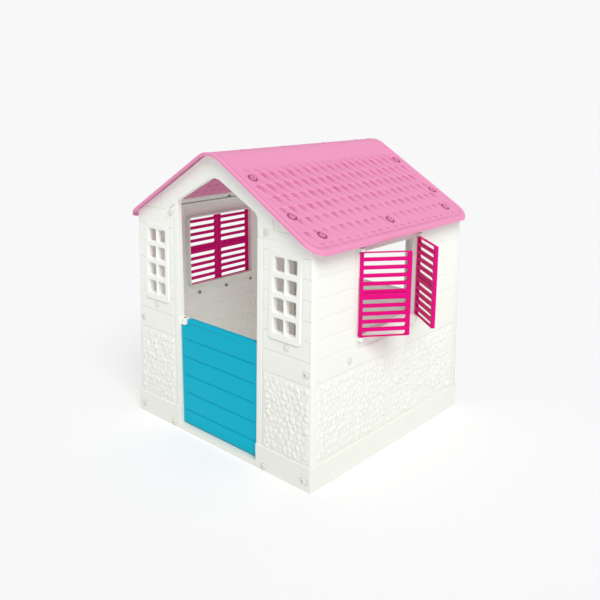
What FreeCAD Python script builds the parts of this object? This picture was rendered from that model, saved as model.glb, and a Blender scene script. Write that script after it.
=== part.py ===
"""Plastic playhouse: moulded wall panels, a two-part tiled roof, a half door and four louvred shutters.

Frame: the origin is on the floor, on the house's middle plane, at the front wall's outer face.
+X is to the right seen from the front, +Y runs from the front wall to the back, +Z is up. Millimetres.
"""
import FreeCAD, Part
import math
import os

V = FreeCAD.Vector
os.makedirs("parts", exist_ok=True)

# ---- the house ------------------------------------------------------------------------------
house_width = 896.0            # over the side walls' outer faces
house_depth = 892.0            # over the front and back walls' outer faces
wall_top_z = 833.2             # roof's outer plane above the side walls' outer faces

# ---- mouldings ------------------------------------------------------------------------------
skin = 3.5                     # wall of every moulding
rim = 4.0                      # width of the rims round edges and openings
wall_depth = 20.0              # depth of a wall panel with its rims
plinth_height = 88.0
plinth_proud = 16.0            # how far the plinth stands out from the wall
tab_thickness = 4.0            # joining tabs behind the panels
tab_reach = 54.0               # how far a joining tab runs behind its neighbour
tab_inset = 1.0                # joining tab's edges inside the rims that carry it

# ---- roof -----------------------------------------------------------------------------------
roof_slope = 0.60              # rise over run
ridge_radius = 110.0           # outer radius of the rounded ridge
eave_overhang = 40.0
front_overhang = 28.0
back_overhang = 10.0
roof_rim = 11.0                # upright depth of the rim under the roof's edges
roof_corner_radius = 60.0
lap_width = 26.0               # lip of the left half under the right half at the ridge
lap_thickness = 3.0
roof_flange_width = 48.0       # flange of the walls' tops that the roof is bolted to
roof_flange_thickness = 5.0

# ---- doorway and door -----------------------------------------------------------------------
doorway_width = 416.0
doorway_apex_z = 1003.0        # where the doorway's two sloping edges would meet
doorway_slope = 0.52
doorway_apex_radius = 70.0
doorway_corner_radius = 30.0
gable_seam_z = 820.0           # foot of the gable piece on the front panels
gable_foot_width = 84.0
sill_height = 22.0
door_bottom_z = 25.0
door_top_z = 451.0
door_thickness = 20.0
door_set_back = 1.0            # door's face behind the wall's outer face
door_gap = 4.0                 # between the door and each jamb
door_pivot_from_jamb = 16.0
door_corner_radius = 8.0
door_edge_radius = 6.0
door_hinge_block = 24.0        # solid strip of the door that holds its pins
door_notch_height = 30.0       # cut-out for the upper hinge lug
door_pin_radius = 5.0
door_pin_embed = 40.0
door_pin_reach = 12.0          # length of the lower pin inside the sill
lug_nose_radius = 10.0
lug_clearance = 2.0
stop_width = 8.0
stop_thickness = 6.0
stop_gap = 2.0
board_height = 72.0            # pitch of the door's moulded boards
board_first = 56.0             # height of the lowest board
groove_width = 4.0
groove_depth = 1.2
groove_margin = 14.0

# ---- front and back windows with fixed bars -------------------------------------------------
pane_width = 45.0
pane_height = 48.0
pane_pitch_x = 55.3
pane_pitch_z = 68.0
pane_top_z = 768.6
pane_rows = 4
pane_radius = 5.0
pane_rim = 3.0
panes_outward = 8.0            # middle of the pane columns, outward of the panel's middle

# ---- side windows and shutters --------------------------------------------------------------
window_forward = 34.0          # middle of a side window, forward of the wall's middle
window_width = 350.0
window_bottom_z = 478.0
window_top_z = 766.0
window_radius = 8.0
trim_width = 26.0
trim_proud = 3.0
shutter_gap_each = 0.75        # from a closed shutter's free edge to the middle of the window
shutter_overlap = 4.0          # how far a shutter laps over the wall beside and above the window
shutter_thickness = 14.0
shutter_gap = 1.0              # between a closed shutter and the trim
shutter_pivot_inset = 7.0
shutter_pin_radius = 3.0
shutter_pin_embed = 25.0
shutter_pin_reach = 10.0
shutter_corner_radius = 4.0
hinge_stile = 12.0
free_stile = 14.0
slot_height = 16.5
slot_pitch = 28.0
slots_per_group = 5
first_slot_from_edge = 11.5
end_rounding = 0.45            # corner radius of a slot or groove as a share of its height
edge_flat = 0.05               # flat left between the two rounded edges of a shutter
shutter_lug_half_width = 10.0
shutter_lug_height = 12.0
shutter_lug_gap = 2.0
right_front_rest_deg = 39.0    # how far each right-hand shutter stands open as stored
right_back_rest_deg = 53.0

# ---- fastenings -----------------------------------------------------------------------------
running_clearance = 0.08       # radial, between a hinge pin and its hole
cutter_length = 60.0           # long enough to pass through any wall
overrun = 1.0                  # how far a cutter runs past the face it opens
bolt_radius = 3.0
bolt_hole_clearance = 0.3
bolt_head_radius = 11.0
bolt_head_height = 3.5
nut_radius = 8.0
nut_height = 6.0
screw_head_radius = 9.5
screw_head_height = 3.5
screw_length = 24.0
screw_end = 2.0                # how far a wall screw comes through behind the joining tab
boss_radius = 8.0
ridge_screw_from_ridge = 12.0
ridge_head_radius = 7.0
plug_radius = 7.0
plug_length = 6.0
gable_bolt_from_seam = 135.0   # roof bolt inside the gable's seam
panel_bolt_from_seam = 42.0    # roof bolt outside the gable's seam
roof_bolt_in = 33.0            # from the front and back walls' outer faces
eave_bolt_in = 25.0            # from the side walls' outer faces
eave_bolt_end = 77.0           # first and last eave bolt, from the front and back faces
ridge_screw_share = (0.1345, 0.37, 0.628, 0.863)   # places along the house's depth
gable_screw_from_jamb = 40.0
gable_screw_z = 842.0
corner_screw_in = 18.0
corner_screw_z = (34.0, 403.0)
sill_screw_from_jamb = 37.0
sill_screw_z = 14.0
wall_plug_z = 398.0
wall_plug_in = 190.0           # from each end of a side wall
wall_bolt_z = 436.0
wall_bolt_pitch = 153.0
front_plug_outward = 7.0       # from the middle of the pane columns
front_plug_z = 471.0

# ---- values that follow from the ones above -------------------------------------------------
half_width = house_width / 2
half_doorway = doorway_width / 2
roof_angle = math.atan(roof_slope)
roof_line_z = wall_top_z + roof_slope * half_width
skin_upright = skin / math.cos(roof_angle)
flange_upright = roof_flange_thickness / math.cos(roof_angle)
roof_half_width = half_width + eave_overhang
under_line_z = roof_line_z - skin_upright
seam_x = half_doorway + gable_foot_width
panes_from_centre = (half_doorway + half_width) / 2 + panes_outward
front_plug_x = panes_from_centre + front_plug_outward
window_centre_y = house_depth / 2 - window_forward
shutter_width = window_width / 2 + shutter_overlap - shutter_gap_each
gable_bolt_x = seam_x - gable_bolt_from_seam
panel_bolt_x = seam_x + panel_bolt_from_seam
gable_screw_x = half_doorway + gable_screw_from_jamb
sill_screw_x = half_doorway + sill_screw_from_jamb
ridge_screw_y = [share * house_depth for share in ridge_screw_share]
seam_tab_z = gable_screw_z + boss_radius + tab_thickness
door_pivot_x = -half_doorway + door_pivot_from_jamb
door_pivot_y = door_set_back + door_thickness / 2
door_notch_x = door_pivot_x + door_hinge_block
lug_top_z = door_top_z - lug_clearance
lug_bottom_z = door_top_z - door_notch_height + lug_clearance
shutter_top_z = window_top_z + shutter_overlap
shutter_bottom_z = window_bottom_z - shutter_overlap
shutter_height = shutter_top_z - shutter_bottom_z
shutter_axis_x = half_width + trim_proud + shutter_gap + shutter_thickness / 2
shutter_edge_y = (window_centre_y - window_width / 2 - shutter_overlap,
                  window_centre_y + window_width / 2 + shutter_overlap)
pivot_y_pair = (shutter_edge_y[0] + shutter_pivot_inset, shutter_edge_y[1] - shutter_pivot_inset)
bolt_hole_radius = bolt_radius + bolt_hole_clearance
screw_hole_end = wall_depth + tab_thickness + overrun
screw_reach = wall_depth + tab_thickness + screw_end


# ---- helpers --------------------------------------------------------------------------------
def box(x0, x1, y0, y1, z0, z1):
    """Box between two corners, given as low and high values along each axis."""
    return Part.makeBox(x1 - x0, y1 - y0, z1 - z0, V(x0, y0, z0))


def outline(corners):
    """Closed wire in the XZ plane through corners (x, z, radius), each rounded by a tangent arc."""
    spans = []
    for i, (x, z, radius) in enumerate(corners):
        point = V(x, 0, z)
        before = V(corners[i - 1][0], 0, corners[i - 1][1]) - point
        after_x, after_z, _ = corners[(i + 1) % len(corners)]
        after = V(after_x, 0, after_z) - point
        before.normalize()
        after.normalize()
        if radius == 0:
            spans.append((point, None, point))
            continue
        half_angle = before.getAngle(after) / 2
        reach = radius / math.tan(half_angle)
        inward = before + after
        inward.normalize()
        middle = point + inward * (radius / math.sin(half_angle) - radius)
        spans.append((point + before * reach, middle, point + after * reach))
    edges = []
    for i, (start, middle, end) in enumerate(spans):
        if middle is not None:
            edges.append(Part.Arc(start, middle, end).toShape())
        following = spans[(i + 1) % len(spans)][0]
        if end.distanceToPoint(following) > 1e-6:
            edges.append(Part.LineSegment(end, following).toShape())
    return Part.Wire(edges)


def rectangle(x0, x1, z0, z1, radius=0.0):
    """Rounded rectangle in the XZ plane."""
    return outline([(x0, z0, radius), (x1, z0, radius), (x1, z1, radius), (x0, z1, radius)])


def prism(wire, y0, y1):
    """Solid of an XZ outline between two depths."""
    face = Part.Face(wire)
    face.translate(V(0, y0, 0))
    return face.extrude(V(0, y1 - y0, 0))


def plan_prism(x0, x1, y0, y1, z0, z1, radius):
    """Upright solid whose plan is a rounded rectangle."""
    solid = prism(rectangle(x0, x1, -y1, -y0, radius), z0, z1)
    solid.rotate(V(0, 0, 0), V(1, 0, 0), 90)
    return solid


def shell(edge, holes, hole_rim=rim):
    """Open-backed moulding: a skin at y = 0 with rims of the wall's depth round its edge and holes."""
    body = prism(edge, 0, wall_depth)
    pocket = prism(edge.makeOffset2D(-rim, 2), skin, wall_depth + overrun)
    for hole in holes:
        pocket = pocket.cut(prism(hole.makeOffset2D(hole_rim, 2), 0, wall_depth + 2))
    body = body.cut(pocket)
    for hole in holes:
        body = body.cut(prism(hole, -1, wall_depth + 2))
    return body


def cylinder_y(x, z, radius, y0, y1):
    """Round bar along Y."""
    return Part.makeCylinder(radius, y1 - y0, V(x, y0, z), V(0, 1, 0))


def cylinder_z(x, y, radius, z0, z1):
    """Round bar along Z."""
    return Part.makeCylinder(radius, z1 - z0, V(x, y, z0))


def domed_screw(head_radius, head_height, shank_radius, shank_length):
    """Screw along Z: its head stands on the plane z = 0 and its shank points down."""
    head = Part.makeCylinder(head_radius, head_height)
    rounded = [e for e in head.Edges if e.BoundBox.ZMin > head_height - 1e-6 and len(e.Vertexes) == 1]
    head = head.makeFillet(head_height * 0.7, rounded)
    return head.fuse(Part.makeCylinder(shank_radius, shank_length, V(0, 0, -shank_length)))


def placed(shape, position, axis, angle):
    """Copy turned about an axis through the origin by an angle in degrees, then moved."""
    copy = shape.copy()
    copy.rotate(V(0, 0, 0), axis, angle)
    copy.translate(position)
    return copy


def front_screw(x, z, length=screw_length, y=0.0):
    """Screw in the front wall: head outside, shank along +Y."""
    screw = domed_screw(screw_head_radius, screw_head_height, bolt_radius, length)
    return placed(screw, V(x, y, z), V(1, 0, 0), 90)


def mirror_x(shape):
    """The same piece on the other side of the house."""
    return shape.mirror(V(0, 0, 0), V(1, 0, 0))


def to_back(shape):
    """A front piece turned half a turn about the house's upright middle axis."""
    copy = shape.copy()
    copy.rotate(V(0, house_depth / 2, 0), V(0, 0, 1), 180)
    return copy


def export(name, *solids):
    """Writes one node: a single solid, or a group of separate solids."""
    shape = solids[0] if len(solids) == 1 else Part.makeCompound(solids)
    for solid in shape.Solids:
        assert solid.isValid() and solid.Volume > 1, name
    shape.exportStep(f"parts/{name}.step")
    print(name, len(shape.Solids), "solid(s)", round(shape.Volume / 1000, 1), "cm3")


# ---- roof lines -----------------------------------------------------------------------------
def roof_band(drop_top, drop_bottom, reach):
    """Outline of a band that follows the roof, between two upright drops below its outer line."""
    def line(x, drop):
        return roof_line_z - drop - roof_slope * x

    top_radius = ridge_radius - drop_top * math.cos(roof_angle)
    low_radius = ridge_radius - drop_bottom * math.cos(roof_angle)
    return outline([(-reach, line(reach, drop_bottom), 0), (0, line(0, drop_bottom), low_radius),
                    (reach, line(reach, drop_bottom), 0), (reach, line(reach, drop_top), 0),
                    (0, line(0, drop_top), top_radius), (-reach, line(reach, drop_top), 0)])


def under_z(x):
    """Underside of the roof's skin above a place on the walls."""
    return under_line_z - roof_slope * abs(x)


def roof_hole(x, y):
    """Hole square to the roof through the skin and the flange below it."""
    hole = Part.makeCylinder(bolt_hole_radius, cutter_length, V(0, 0, -cutter_length / 2))
    return placed(hole, V(x, y, roof_line_z - roof_slope * x), V(0, 1, 0), math.degrees(roof_angle))


roof_bolt_y = (roof_bolt_in, house_depth - roof_bolt_in)
eave_bolt_x = half_width - eave_bolt_in
eave_bolt_y = (eave_bolt_end, house_depth / 2, house_depth - eave_bolt_end)
roof_bolt_places = ([(x, y) for x in (gable_bolt_x, panel_bolt_x) for y in roof_bolt_y]
                    + [(eave_bolt_x, y) for y in eave_bolt_y])


def make_roof_half():
    """Right half of the roof, without the lip at the ridge."""
    y0, y1 = -front_overhang, house_depth + back_overhang
    low, high = 0.0, roof_line_z + cutter_length
    body = prism(roof_band(0, roof_rim, roof_half_width), y0, y1)
    body = body.common(plan_prism(-roof_half_width, roof_half_width, y0, y1, low, high, roof_corner_radius))
    pocket = prism(roof_band(skin_upright, roof_rim + cutter_length, roof_half_width), y0, y1)
    pocket = pocket.common(plan_prism(-roof_half_width + rim, roof_half_width - rim, y0 + rim, y1 - rim,
                                      low, high, roof_corner_radius - rim))
    body = body.cut(pocket)
    body = body.common(box(0, roof_half_width + overrun, y0 - overrun, y1 + overrun, low, high))
    for x, y in roof_bolt_places:
        body = body.cut(roof_hole(x, y))
    return body


def ridge_z(x):
    """Outer face of the rounded ridge."""
    centre_z = roof_line_z - ridge_radius / math.cos(roof_angle)
    return centre_z + math.sqrt(ridge_radius ** 2 - x ** 2)


def make_roof():
    """Both roof halves, with the lap joint and the row of screws along the ridge."""
    right = make_roof_half()
    left = mirror_x(right)
    lap_y = (roof_flange_width + 4, house_depth - roof_flange_width - 4)
    lip = prism(roof_band(skin_upright, skin_upright + lap_thickness, ridge_radius), *lap_y)
    lip = lip.common(box(-lap_width, lap_width, lap_y[0], lap_y[1], 0, roof_line_z + cutter_length))
    left = left.fuse(lip).removeSplitter()
    screws = []
    tilt = math.degrees(math.asin(ridge_screw_from_ridge / ridge_radius))
    for y in ridge_screw_y:
        place = V(ridge_screw_from_ridge, y, ridge_z(ridge_screw_from_ridge))
        hole = placed(Part.makeCylinder(bolt_hole_radius, cutter_length, V(0, 0, -cutter_length / 2)), place,
                      V(0, 1, 0), tilt)
        left = left.cut(hole)
        right = right.cut(hole)
        screws.append(placed(domed_screw(ridge_head_radius, screw_head_height, bolt_radius, nut_height * 2),
                             place, V(0, 1, 0), tilt))
    export("roof_right_half", right)
    export("roof_left_half", left)
    export("ridge_screws", *screws)


def make_roof_fasteners():
    """Bolts that hold each roof half to the walls' flanges, and the nuts under the flanges."""
    grip = skin + roof_flange_thickness
    bolt = domed_screw(bolt_head_radius, bolt_head_height, bolt_radius, grip + nut_height + 2)
    nut = Part.makeCylinder(nut_radius, nut_height, V(0, 0, -grip - nut_height))
    nut = nut.cut(Part.makeCylinder(bolt_hole_radius, cutter_length, V(0, 0, -cutter_length / 2)))
    bolts, nuts = [], []
    for x, y in roof_bolt_places:
        place = V(x, y, roof_line_z - roof_slope * x)
        bolts.append(placed(bolt, place, V(0, 1, 0), math.degrees(roof_angle)))
        nuts.append(placed(nut, place, V(0, 1, 0), math.degrees(roof_angle)))
    export("roof_bolts_right", *bolts)
    export("roof_bolts_left", *[mirror_x(b) for b in bolts])
    export("roof_nuts_right", *nuts)
    export("roof_nuts_left", *[mirror_x(n) for n in nuts])


# ---- front and back walls -------------------------------------------------------------------
def pane_wires():
    """Outlines of the eight window openings in a right-hand panel."""
    wires = []
    for column in (-0.5, 0.5):
        x = panes_from_centre + column * pane_pitch_x
        for row in range(pane_rows):
            top = pane_top_z - row * pane_pitch_z
            wires.append(rectangle(x - pane_width / 2, x + pane_width / 2, top - pane_height, top,
                                   pane_radius))
    return wires


def front_plinth():
    """Plinth of a right-hand panel, and the hollow inside it."""
    solid = box(half_doorway, half_width + plinth_proud, -plinth_proud, wall_depth, 0, plinth_height)
    hollow = box(half_doorway + rim, half_width + plinth_proud - skin, skin - plinth_proud,
                 wall_depth + overrun,
                 rim, plinth_height - skin)
    return solid, hollow


def make_panel():
    """Right-hand front panel: plinth, window bars, bosses, roof flange and the tab behind the gable."""
    edge = outline([(half_doorway, 0, 0), (half_width, 0, 0), (half_width, under_z(half_width), 0),
                    (seam_x, under_z(seam_x), 0), (seam_x, gable_seam_z, 0), (half_doorway, gable_seam_z, 0)])
    body = shell(edge, pane_wires(), pane_rim)
    solid, hollow = front_plinth()
    body = body.fuse(solid).cut(hollow)
    corner_x = half_width - corner_screw_in
    holes = [(corner_x, corner_screw_z[0]), (corner_x, corner_screw_z[1]), (sill_screw_x, sill_screw_z)]
    for x, z in holes:
        front = -plinth_proud if z < plinth_height else 0.0
        body = body.fuse(cylinder_y(x, z, boss_radius, front, wall_depth))
    flange = prism(roof_band(skin_upright, skin_upright + flange_upright, half_width), 0, roof_flange_width)
    flange = flange.common(box(seam_x, half_width - roof_flange_width - overrun, 0, roof_flange_width,
                               0, roof_line_z))
    tab = box(half_doorway + tab_inset, seam_x - tab_inset, wall_depth, wall_depth + tab_thickness,
              gable_seam_z - tab_reach, seam_tab_z)
    body = body.fuse(flange).fuse(tab).removeSplitter()
    for x, z in holes + [(gable_screw_x, gable_screw_z)]:
        body = body.cut(cylinder_y(x, z, bolt_hole_radius, -plinth_proud - overrun, screw_hole_end))
    body = body.cut(roof_hole(panel_bolt_x, roof_bolt_in))
    return body.cut(cylinder_y(front_plug_x, front_plug_z, bolt_hole_radius, -overrun, skin + overrun))


def make_gable():
    """Gable piece over the doorway, screwed to both panels, with its roof flange."""
    shoulder_z = doorway_apex_z - doorway_slope * half_doorway
    edge = outline([(half_doorway, gable_seam_z, 0), (seam_x, gable_seam_z, 0), (seam_x, under_z(seam_x), 0),
                    (0, under_line_z, ridge_radius - skin), (-seam_x, under_z(seam_x), 0),
                    (-seam_x, gable_seam_z, 0), (-half_doorway, gable_seam_z, 0),
                    (-half_doorway, shoulder_z, doorway_corner_radius),
                    (0, doorway_apex_z, doorway_apex_radius),
                    (half_doorway, shoulder_z, doorway_corner_radius)])
    body = shell(edge, [])
    flange = prism(roof_band(skin_upright, skin_upright + flange_upright, seam_x), 0, roof_flange_width)
    body = body.fuse(flange)
    for side in (-1, 1):
        body = body.fuse(cylinder_y(side * gable_screw_x, gable_screw_z, boss_radius, 0, wall_depth))
    body = body.removeSplitter()
    for side in (-1, 1):
        body = body.cut(cylinder_y(side * gable_screw_x, gable_screw_z, bolt_hole_radius, -overrun,
                                   screw_hole_end))
    hole = roof_hole(gable_bolt_x, roof_bolt_in)
    return body.cut(hole).cut(mirror_x(hole))


def make_hinge_lug():
    """Round-nosed lug on the left jamb that carries the door's upper pin."""
    nose_x = door_pivot_x + lug_nose_radius + lug_clearance
    lug = box(-half_doorway - rim, nose_x, max(0, door_pivot_y - lug_nose_radius),
              min(wall_depth + stop_gap, door_pivot_y + lug_nose_radius), lug_bottom_z, lug_top_z)
    nose = cylinder_z(nose_x, door_pivot_y, lug_nose_radius, lug_bottom_z, lug_top_z)
    return lug.fuse(nose).cut(cylinder_z(door_pivot_x, door_pivot_y, door_pin_radius + running_clearance,
                                         lug_bottom_z - overrun, lug_top_z + overrun))


def make_front_and_back_walls():
    """Panels, gables, sill and back infill."""
    panel = make_panel()
    gable = make_gable()
    stop_y = door_set_back + door_thickness + stop_gap
    stop = box(half_doorway - stop_width, half_doorway + rim, stop_y, stop_y + stop_thickness,
               sill_height + stop_width, door_top_z - stop_width)
    stop_root = box(half_doorway, half_doorway + rim, wall_depth - overrun, stop_y + stop_thickness,
                    sill_height + stop_width, door_top_z - stop_width)
    export("front_right_panel", panel.fuse(stop).fuse(stop_root).removeSplitter())
    export("front_left_panel", mirror_x(panel).fuse(make_hinge_lug()).removeSplitter())
    export("front_gable", gable)
    export("back_left_panel", to_back(panel))
    export("back_right_panel", to_back(mirror_x(panel)))
    export("back_gable", to_back(gable))


def sill_tabs(height, root):
    """Tabs that reach behind both panels from a root inside the doorway, with their screw holes."""
    tabs = []
    for side in (-1, 1):
        x0, x1 = sorted((side * (half_doorway - root), side * (half_doorway + tab_reach)))
        tab = box(x0, x1, wall_depth, wall_depth + tab_thickness, 0, height)
        tabs.append(tab.cut(cylinder_y(side * sill_screw_x, sill_screw_z, bolt_hole_radius, 0,
                                       screw_hole_end)))
    return tabs


def make_sill():
    """Threshold between the front panels, hollow from inside, with the socket for the door's lower pin."""
    sill = box(-half_doorway, half_doorway, -plinth_proud, wall_depth + tab_thickness, 0, sill_height)
    hollow = box(-half_doorway + 2 * door_hinge_block, half_doorway - rim, skin - plinth_proud,
                 wall_depth + tab_thickness + overrun, skin, sill_height - skin)
    sill = sill.cut(hollow)
    for tab in sill_tabs(sill_height + 2 * rim, 0):
        sill = sill.fuse(tab)
    socket = cylinder_z(door_pivot_x, door_pivot_y, door_pin_radius + running_clearance,
                        sill_height - door_pin_reach - overrun, sill_height + overrun)
    export("door_sill", sill.removeSplitter().cut(socket))


def board_grooves(x0, x1, z_first, count):
    """Cutters for the grooves between moulded boards on a face at y = 0."""
    cutters = []
    for i in range(count):
        z = z_first + i * board_height
        outline = rectangle(x0, x1, z - groove_width / 2, z + groove_width / 2, groove_width * end_rounding)
        cutters.append(prism(outline, -overrun, groove_depth))
    return cutters


def make_back_infill():
    """Fixed lower half of the back opening, moulded in boards like the door."""
    edge = rectangle(-half_doorway, half_doorway, 0, door_top_z + door_gap)
    body = shell(edge, [])
    for cutter in board_grooves(-half_doorway + groove_margin, half_doorway - groove_margin,
                                door_bottom_z + board_first, 5):
        body = body.cut(cutter)
    solid = box(-half_doorway, half_doorway, -plinth_proud, 0, 0, sill_height)
    body = body.fuse(solid)
    for tab in sill_tabs(plinth_height, 2 * rim):
        body = body.fuse(tab)
    export("back_infill", to_back(body.removeSplitter()))


# ---- side walls -----------------------------------------------------------------------------
def to_right_wall(shape):
    """Moves a piece drawn on the front plane, with x as the distance from the front, to the right wall."""
    copy = shape.copy()
    copy.rotate(V(0, 0, 0), V(0, 0, 1), 90)
    copy.translate(V(half_width, 0, 0))
    return copy


def make_side_wall():
    """Right-hand side wall between the front and back panels."""
    y0, y1 = wall_depth, house_depth - wall_depth
    top = under_z(half_width)
    edge = rectangle(y0, y1, 0, top)
    window = rectangle(window_centre_y - window_width / 2, window_centre_y + window_width / 2,
                       window_bottom_z, window_top_z, window_radius)
    body = shell(edge, [window])
    plinth = box(y0, y1, -plinth_proud, wall_depth, 0, plinth_height)
    hollow = box(y0 + rim, y1 - rim, skin - plinth_proud, wall_depth + overrun, rim, plinth_height - skin)
    trim = prism(window.makeOffset2D(trim_width, 0), -trim_proud, 0)
    trim = trim.cut(prism(window, -trim_proud - overrun, overrun))
    trim = trim.common(box(0, house_depth, -trim_proud - overrun, overrun, 0, top))
    body = body.fuse(plinth).cut(hollow).fuse(trim)
    for near, far in ((y0, y0 + tab_thickness), (y1 - tab_thickness, y1)):
        body = body.fuse(box(near, far, skin, 2 * wall_depth, rim, top - roof_flange_width - rim))
    body = to_right_wall(body.removeSplitter())
    lean_cut = prism(roof_band(-cutter_length, skin_upright, half_width + cutter_length), 0, house_depth)
    flange = prism(roof_band(skin_upright, skin_upright + flange_upright, half_width), y0, y1)
    flange = flange.common(box(half_width - roof_flange_width, half_width, y0, y1, 0, roof_line_z))
    body = body.cut(lean_cut).fuse(flange)
    for pivot_y in pivot_y_pair:
        body = body.fuse(make_shutter_lugs(pivot_y))
    for z in corner_screw_z:
        body = body.cut(cylinder_y(half_width - corner_screw_in, z, bolt_hole_radius, 0, house_depth))
    for y in eave_bolt_y:
        body = body.cut(roof_hole(eave_bolt_x, y))
    return body.removeSplitter()


def make_shutter_lugs(pivot_y):
    """Upper and lower hinge lugs of one shutter on the right wall."""
    lugs = []
    for z0 in (shutter_top_z + shutter_lug_gap, shutter_bottom_z - shutter_lug_gap - shutter_lug_height):
        z1 = z0 + shutter_lug_height
        lug = box(half_width, shutter_axis_x, pivot_y - shutter_lug_half_width,
                  pivot_y + shutter_lug_half_width, z0, z1)
        lug = lug.fuse(cylinder_z(shutter_axis_x, pivot_y, shutter_lug_half_width, z0, z1))
        lugs.append(lug.cut(cylinder_z(shutter_axis_x, pivot_y, shutter_pin_radius + running_clearance,
                                       z0 - overrun, z1 + overrun)))
    return lugs[0].fuse(lugs[1])


# ---- shutters -------------------------------------------------------------------------------
def make_shutter():
    """Shutter hinged along x = 0 and reaching along +X, its outer face at y = -thickness / 2."""
    x0, x1 = -shutter_pivot_inset, shutter_width - shutter_pivot_inset
    half = shutter_thickness / 2
    body = prism(rectangle(x0, x1, shutter_bottom_z, shutter_top_z, shutter_corner_radius), -half, half)
    ends = plan_prism(x0, x1 + half, -half, half, 0, shutter_top_z + overrun, half - edge_flat)
    body = body.common(ends)
    for i in range(slots_per_group):
        for z in (shutter_top_z - first_slot_from_edge - i * slot_pitch,
                  shutter_bottom_z + first_slot_from_edge + i * slot_pitch):
            slot = rectangle(x0 + hinge_stile, x1 - free_stile, z - slot_height / 2, z + slot_height / 2,
                             slot_height * end_rounding)
            body = body.cut(prism(slot, -half - overrun, half + overrun))
    for z0 in (shutter_top_z - shutter_pin_embed, shutter_bottom_z - overrun):
        body = body.cut(cylinder_z(0, 0, shutter_pin_radius, z0, z0 + shutter_pin_embed + overrun))
    return body


def make_shutter_pins():
    """Upper and lower pins of a shutter, on the axis x = 0, y = 0."""
    reach = shutter_lug_gap + shutter_pin_reach
    ends = ((shutter_top_z - shutter_pin_embed, shutter_top_z + reach),
            (shutter_bottom_z - reach, shutter_bottom_z + shutter_pin_embed))
    return [cylinder_z(0, 0, shutter_pin_radius, z0, z1) for z0, z1 in ends]


def make_shutters():
    """Four shutters: drawn closed on the front shutter's axis, then turned and carried to their hinges."""
    shutter = make_shutter()
    pins = make_shutter_pins()
    front_y, back_y = pivot_y_pair
    for name, side, pivot_y, closed_deg, open_deg in (
            ("right_front", 1, front_y, 90, -right_front_rest_deg),
            ("right_back", 1, back_y, -90, right_back_rest_deg),
            ("left_front", -1, front_y, 90, 0),
            ("left_back", -1, back_y, -90, 0)):
        place = V(side * shutter_axis_x, pivot_y, 0)
        turned = placed(shutter, place, V(0, 0, 1), closed_deg + open_deg)
        export(f"{name}_shutter", turned)
        export(f"{name}_shutter_pins", *[placed(pin, place, V(0, 0, 1), 0) for pin in pins])


# ---- door -----------------------------------------------------------------------------------
def make_door():
    """Half door with five moulded grooves, a notch for the upper lug and two pins."""
    x0, x1 = -half_doorway + door_gap, half_doorway - door_gap
    y0, y1 = door_set_back, door_set_back + door_thickness
    notch_z = door_top_z - door_notch_height
    edge = outline([(x0, door_bottom_z, 0), (x1, door_bottom_z, door_corner_radius),
                    (x1, door_top_z, door_corner_radius), (door_notch_x, door_top_z, door_corner_radius),
                    (door_notch_x, notch_z, 0), (x0, notch_z, 0)])
    body = prism(edge, y0, y1)
    body = body.common(plan_prism(x0, x1, y0, y1, 0, door_top_z + overrun, door_edge_radius))
    pocket = rectangle(door_notch_x + rim, x1 - rim, door_bottom_z + rim, door_top_z - rim)
    body = body.cut(prism(pocket, y0 + skin, y1 + overrun))
    for cutter in board_grooves(x0 + groove_margin, x1 - groove_margin, door_bottom_z + board_first, 5):
        cutter.translate(V(0, y0, 0))
        body = body.cut(cutter)
    pins = [cylinder_z(door_pivot_x, door_pivot_y, door_pin_radius, notch_z - door_pin_embed, lug_top_z),
            cylinder_z(door_pivot_x, door_pivot_y, door_pin_radius, sill_height - door_pin_reach,
                       door_bottom_z + door_pin_embed)]
    for pin in pins:
        body = body.cut(pin)
    export("door", body)
    export("door_pins", *pins)


# ---- screws and plugs -----------------------------------------------------------------------
def make_screws():
    """Fastenings of the walls, grouped by what they hold."""
    gable = [front_screw(side * gable_screw_x, gable_screw_z, screw_reach) for side in (-1, 1)]
    export("gable_screws_front", *gable)
    export("gable_screws_back", *[to_back(s) for s in gable])
    corner_x = half_width - corner_screw_in
    corners = []
    for side in (-1, 1):
        for z in corner_screw_z:
            face = -plinth_proud if z < plinth_height else 0.0
            corners.append(front_screw(side * corner_x, z, screw_reach - face, face))
    export("corner_screws_front", *corners)
    export("corner_screws_back", *[to_back(s) for s in corners])
    sill = [front_screw(side * sill_screw_x, sill_screw_z, screw_reach + plinth_proud,
                        -plinth_proud) for side in (-1, 1)]
    export("sill_screws", *sill)
    export("infill_screws", *[to_back(s) for s in sill])


def make_plugs():
    """Push-in plugs that close the moulding's spare holes, and the bolts inside the side walls."""
    front = [placed(domed_screw(plug_radius, screw_head_height, bolt_radius, plug_length),
                    V(side * front_plug_x, 0, front_plug_z), V(1, 0, 0), 90) for side in (-1, 1)]
    export("front_plugs", *front)
    export("back_plugs", *[to_back(p) for p in front])
    outer = domed_screw(screw_head_radius, screw_head_height, bolt_radius, plug_length)
    inner = domed_screw(plug_radius, nut_height, bolt_radius, skin)
    right_plugs = [placed(outer, V(half_width, y, wall_plug_z), V(0, 1, 0), 90)
                   for y in (wall_plug_in, house_depth - wall_plug_in)]
    right_bolts = [placed(inner, V(half_width - skin, house_depth / 2 + i * wall_bolt_pitch, wall_bolt_z),
                          V(0, 1, 0), -90) for i in (-1, 0, 1)]
    export("side_plugs_right", *right_plugs)
    export("side_plugs_left", *[mirror_x(p) for p in right_plugs])
    export("inner_bolts_right", *right_bolts)
    export("inner_bolts_left", *[mirror_x(b) for b in right_bolts])
    return right_plugs + right_bolts


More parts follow.
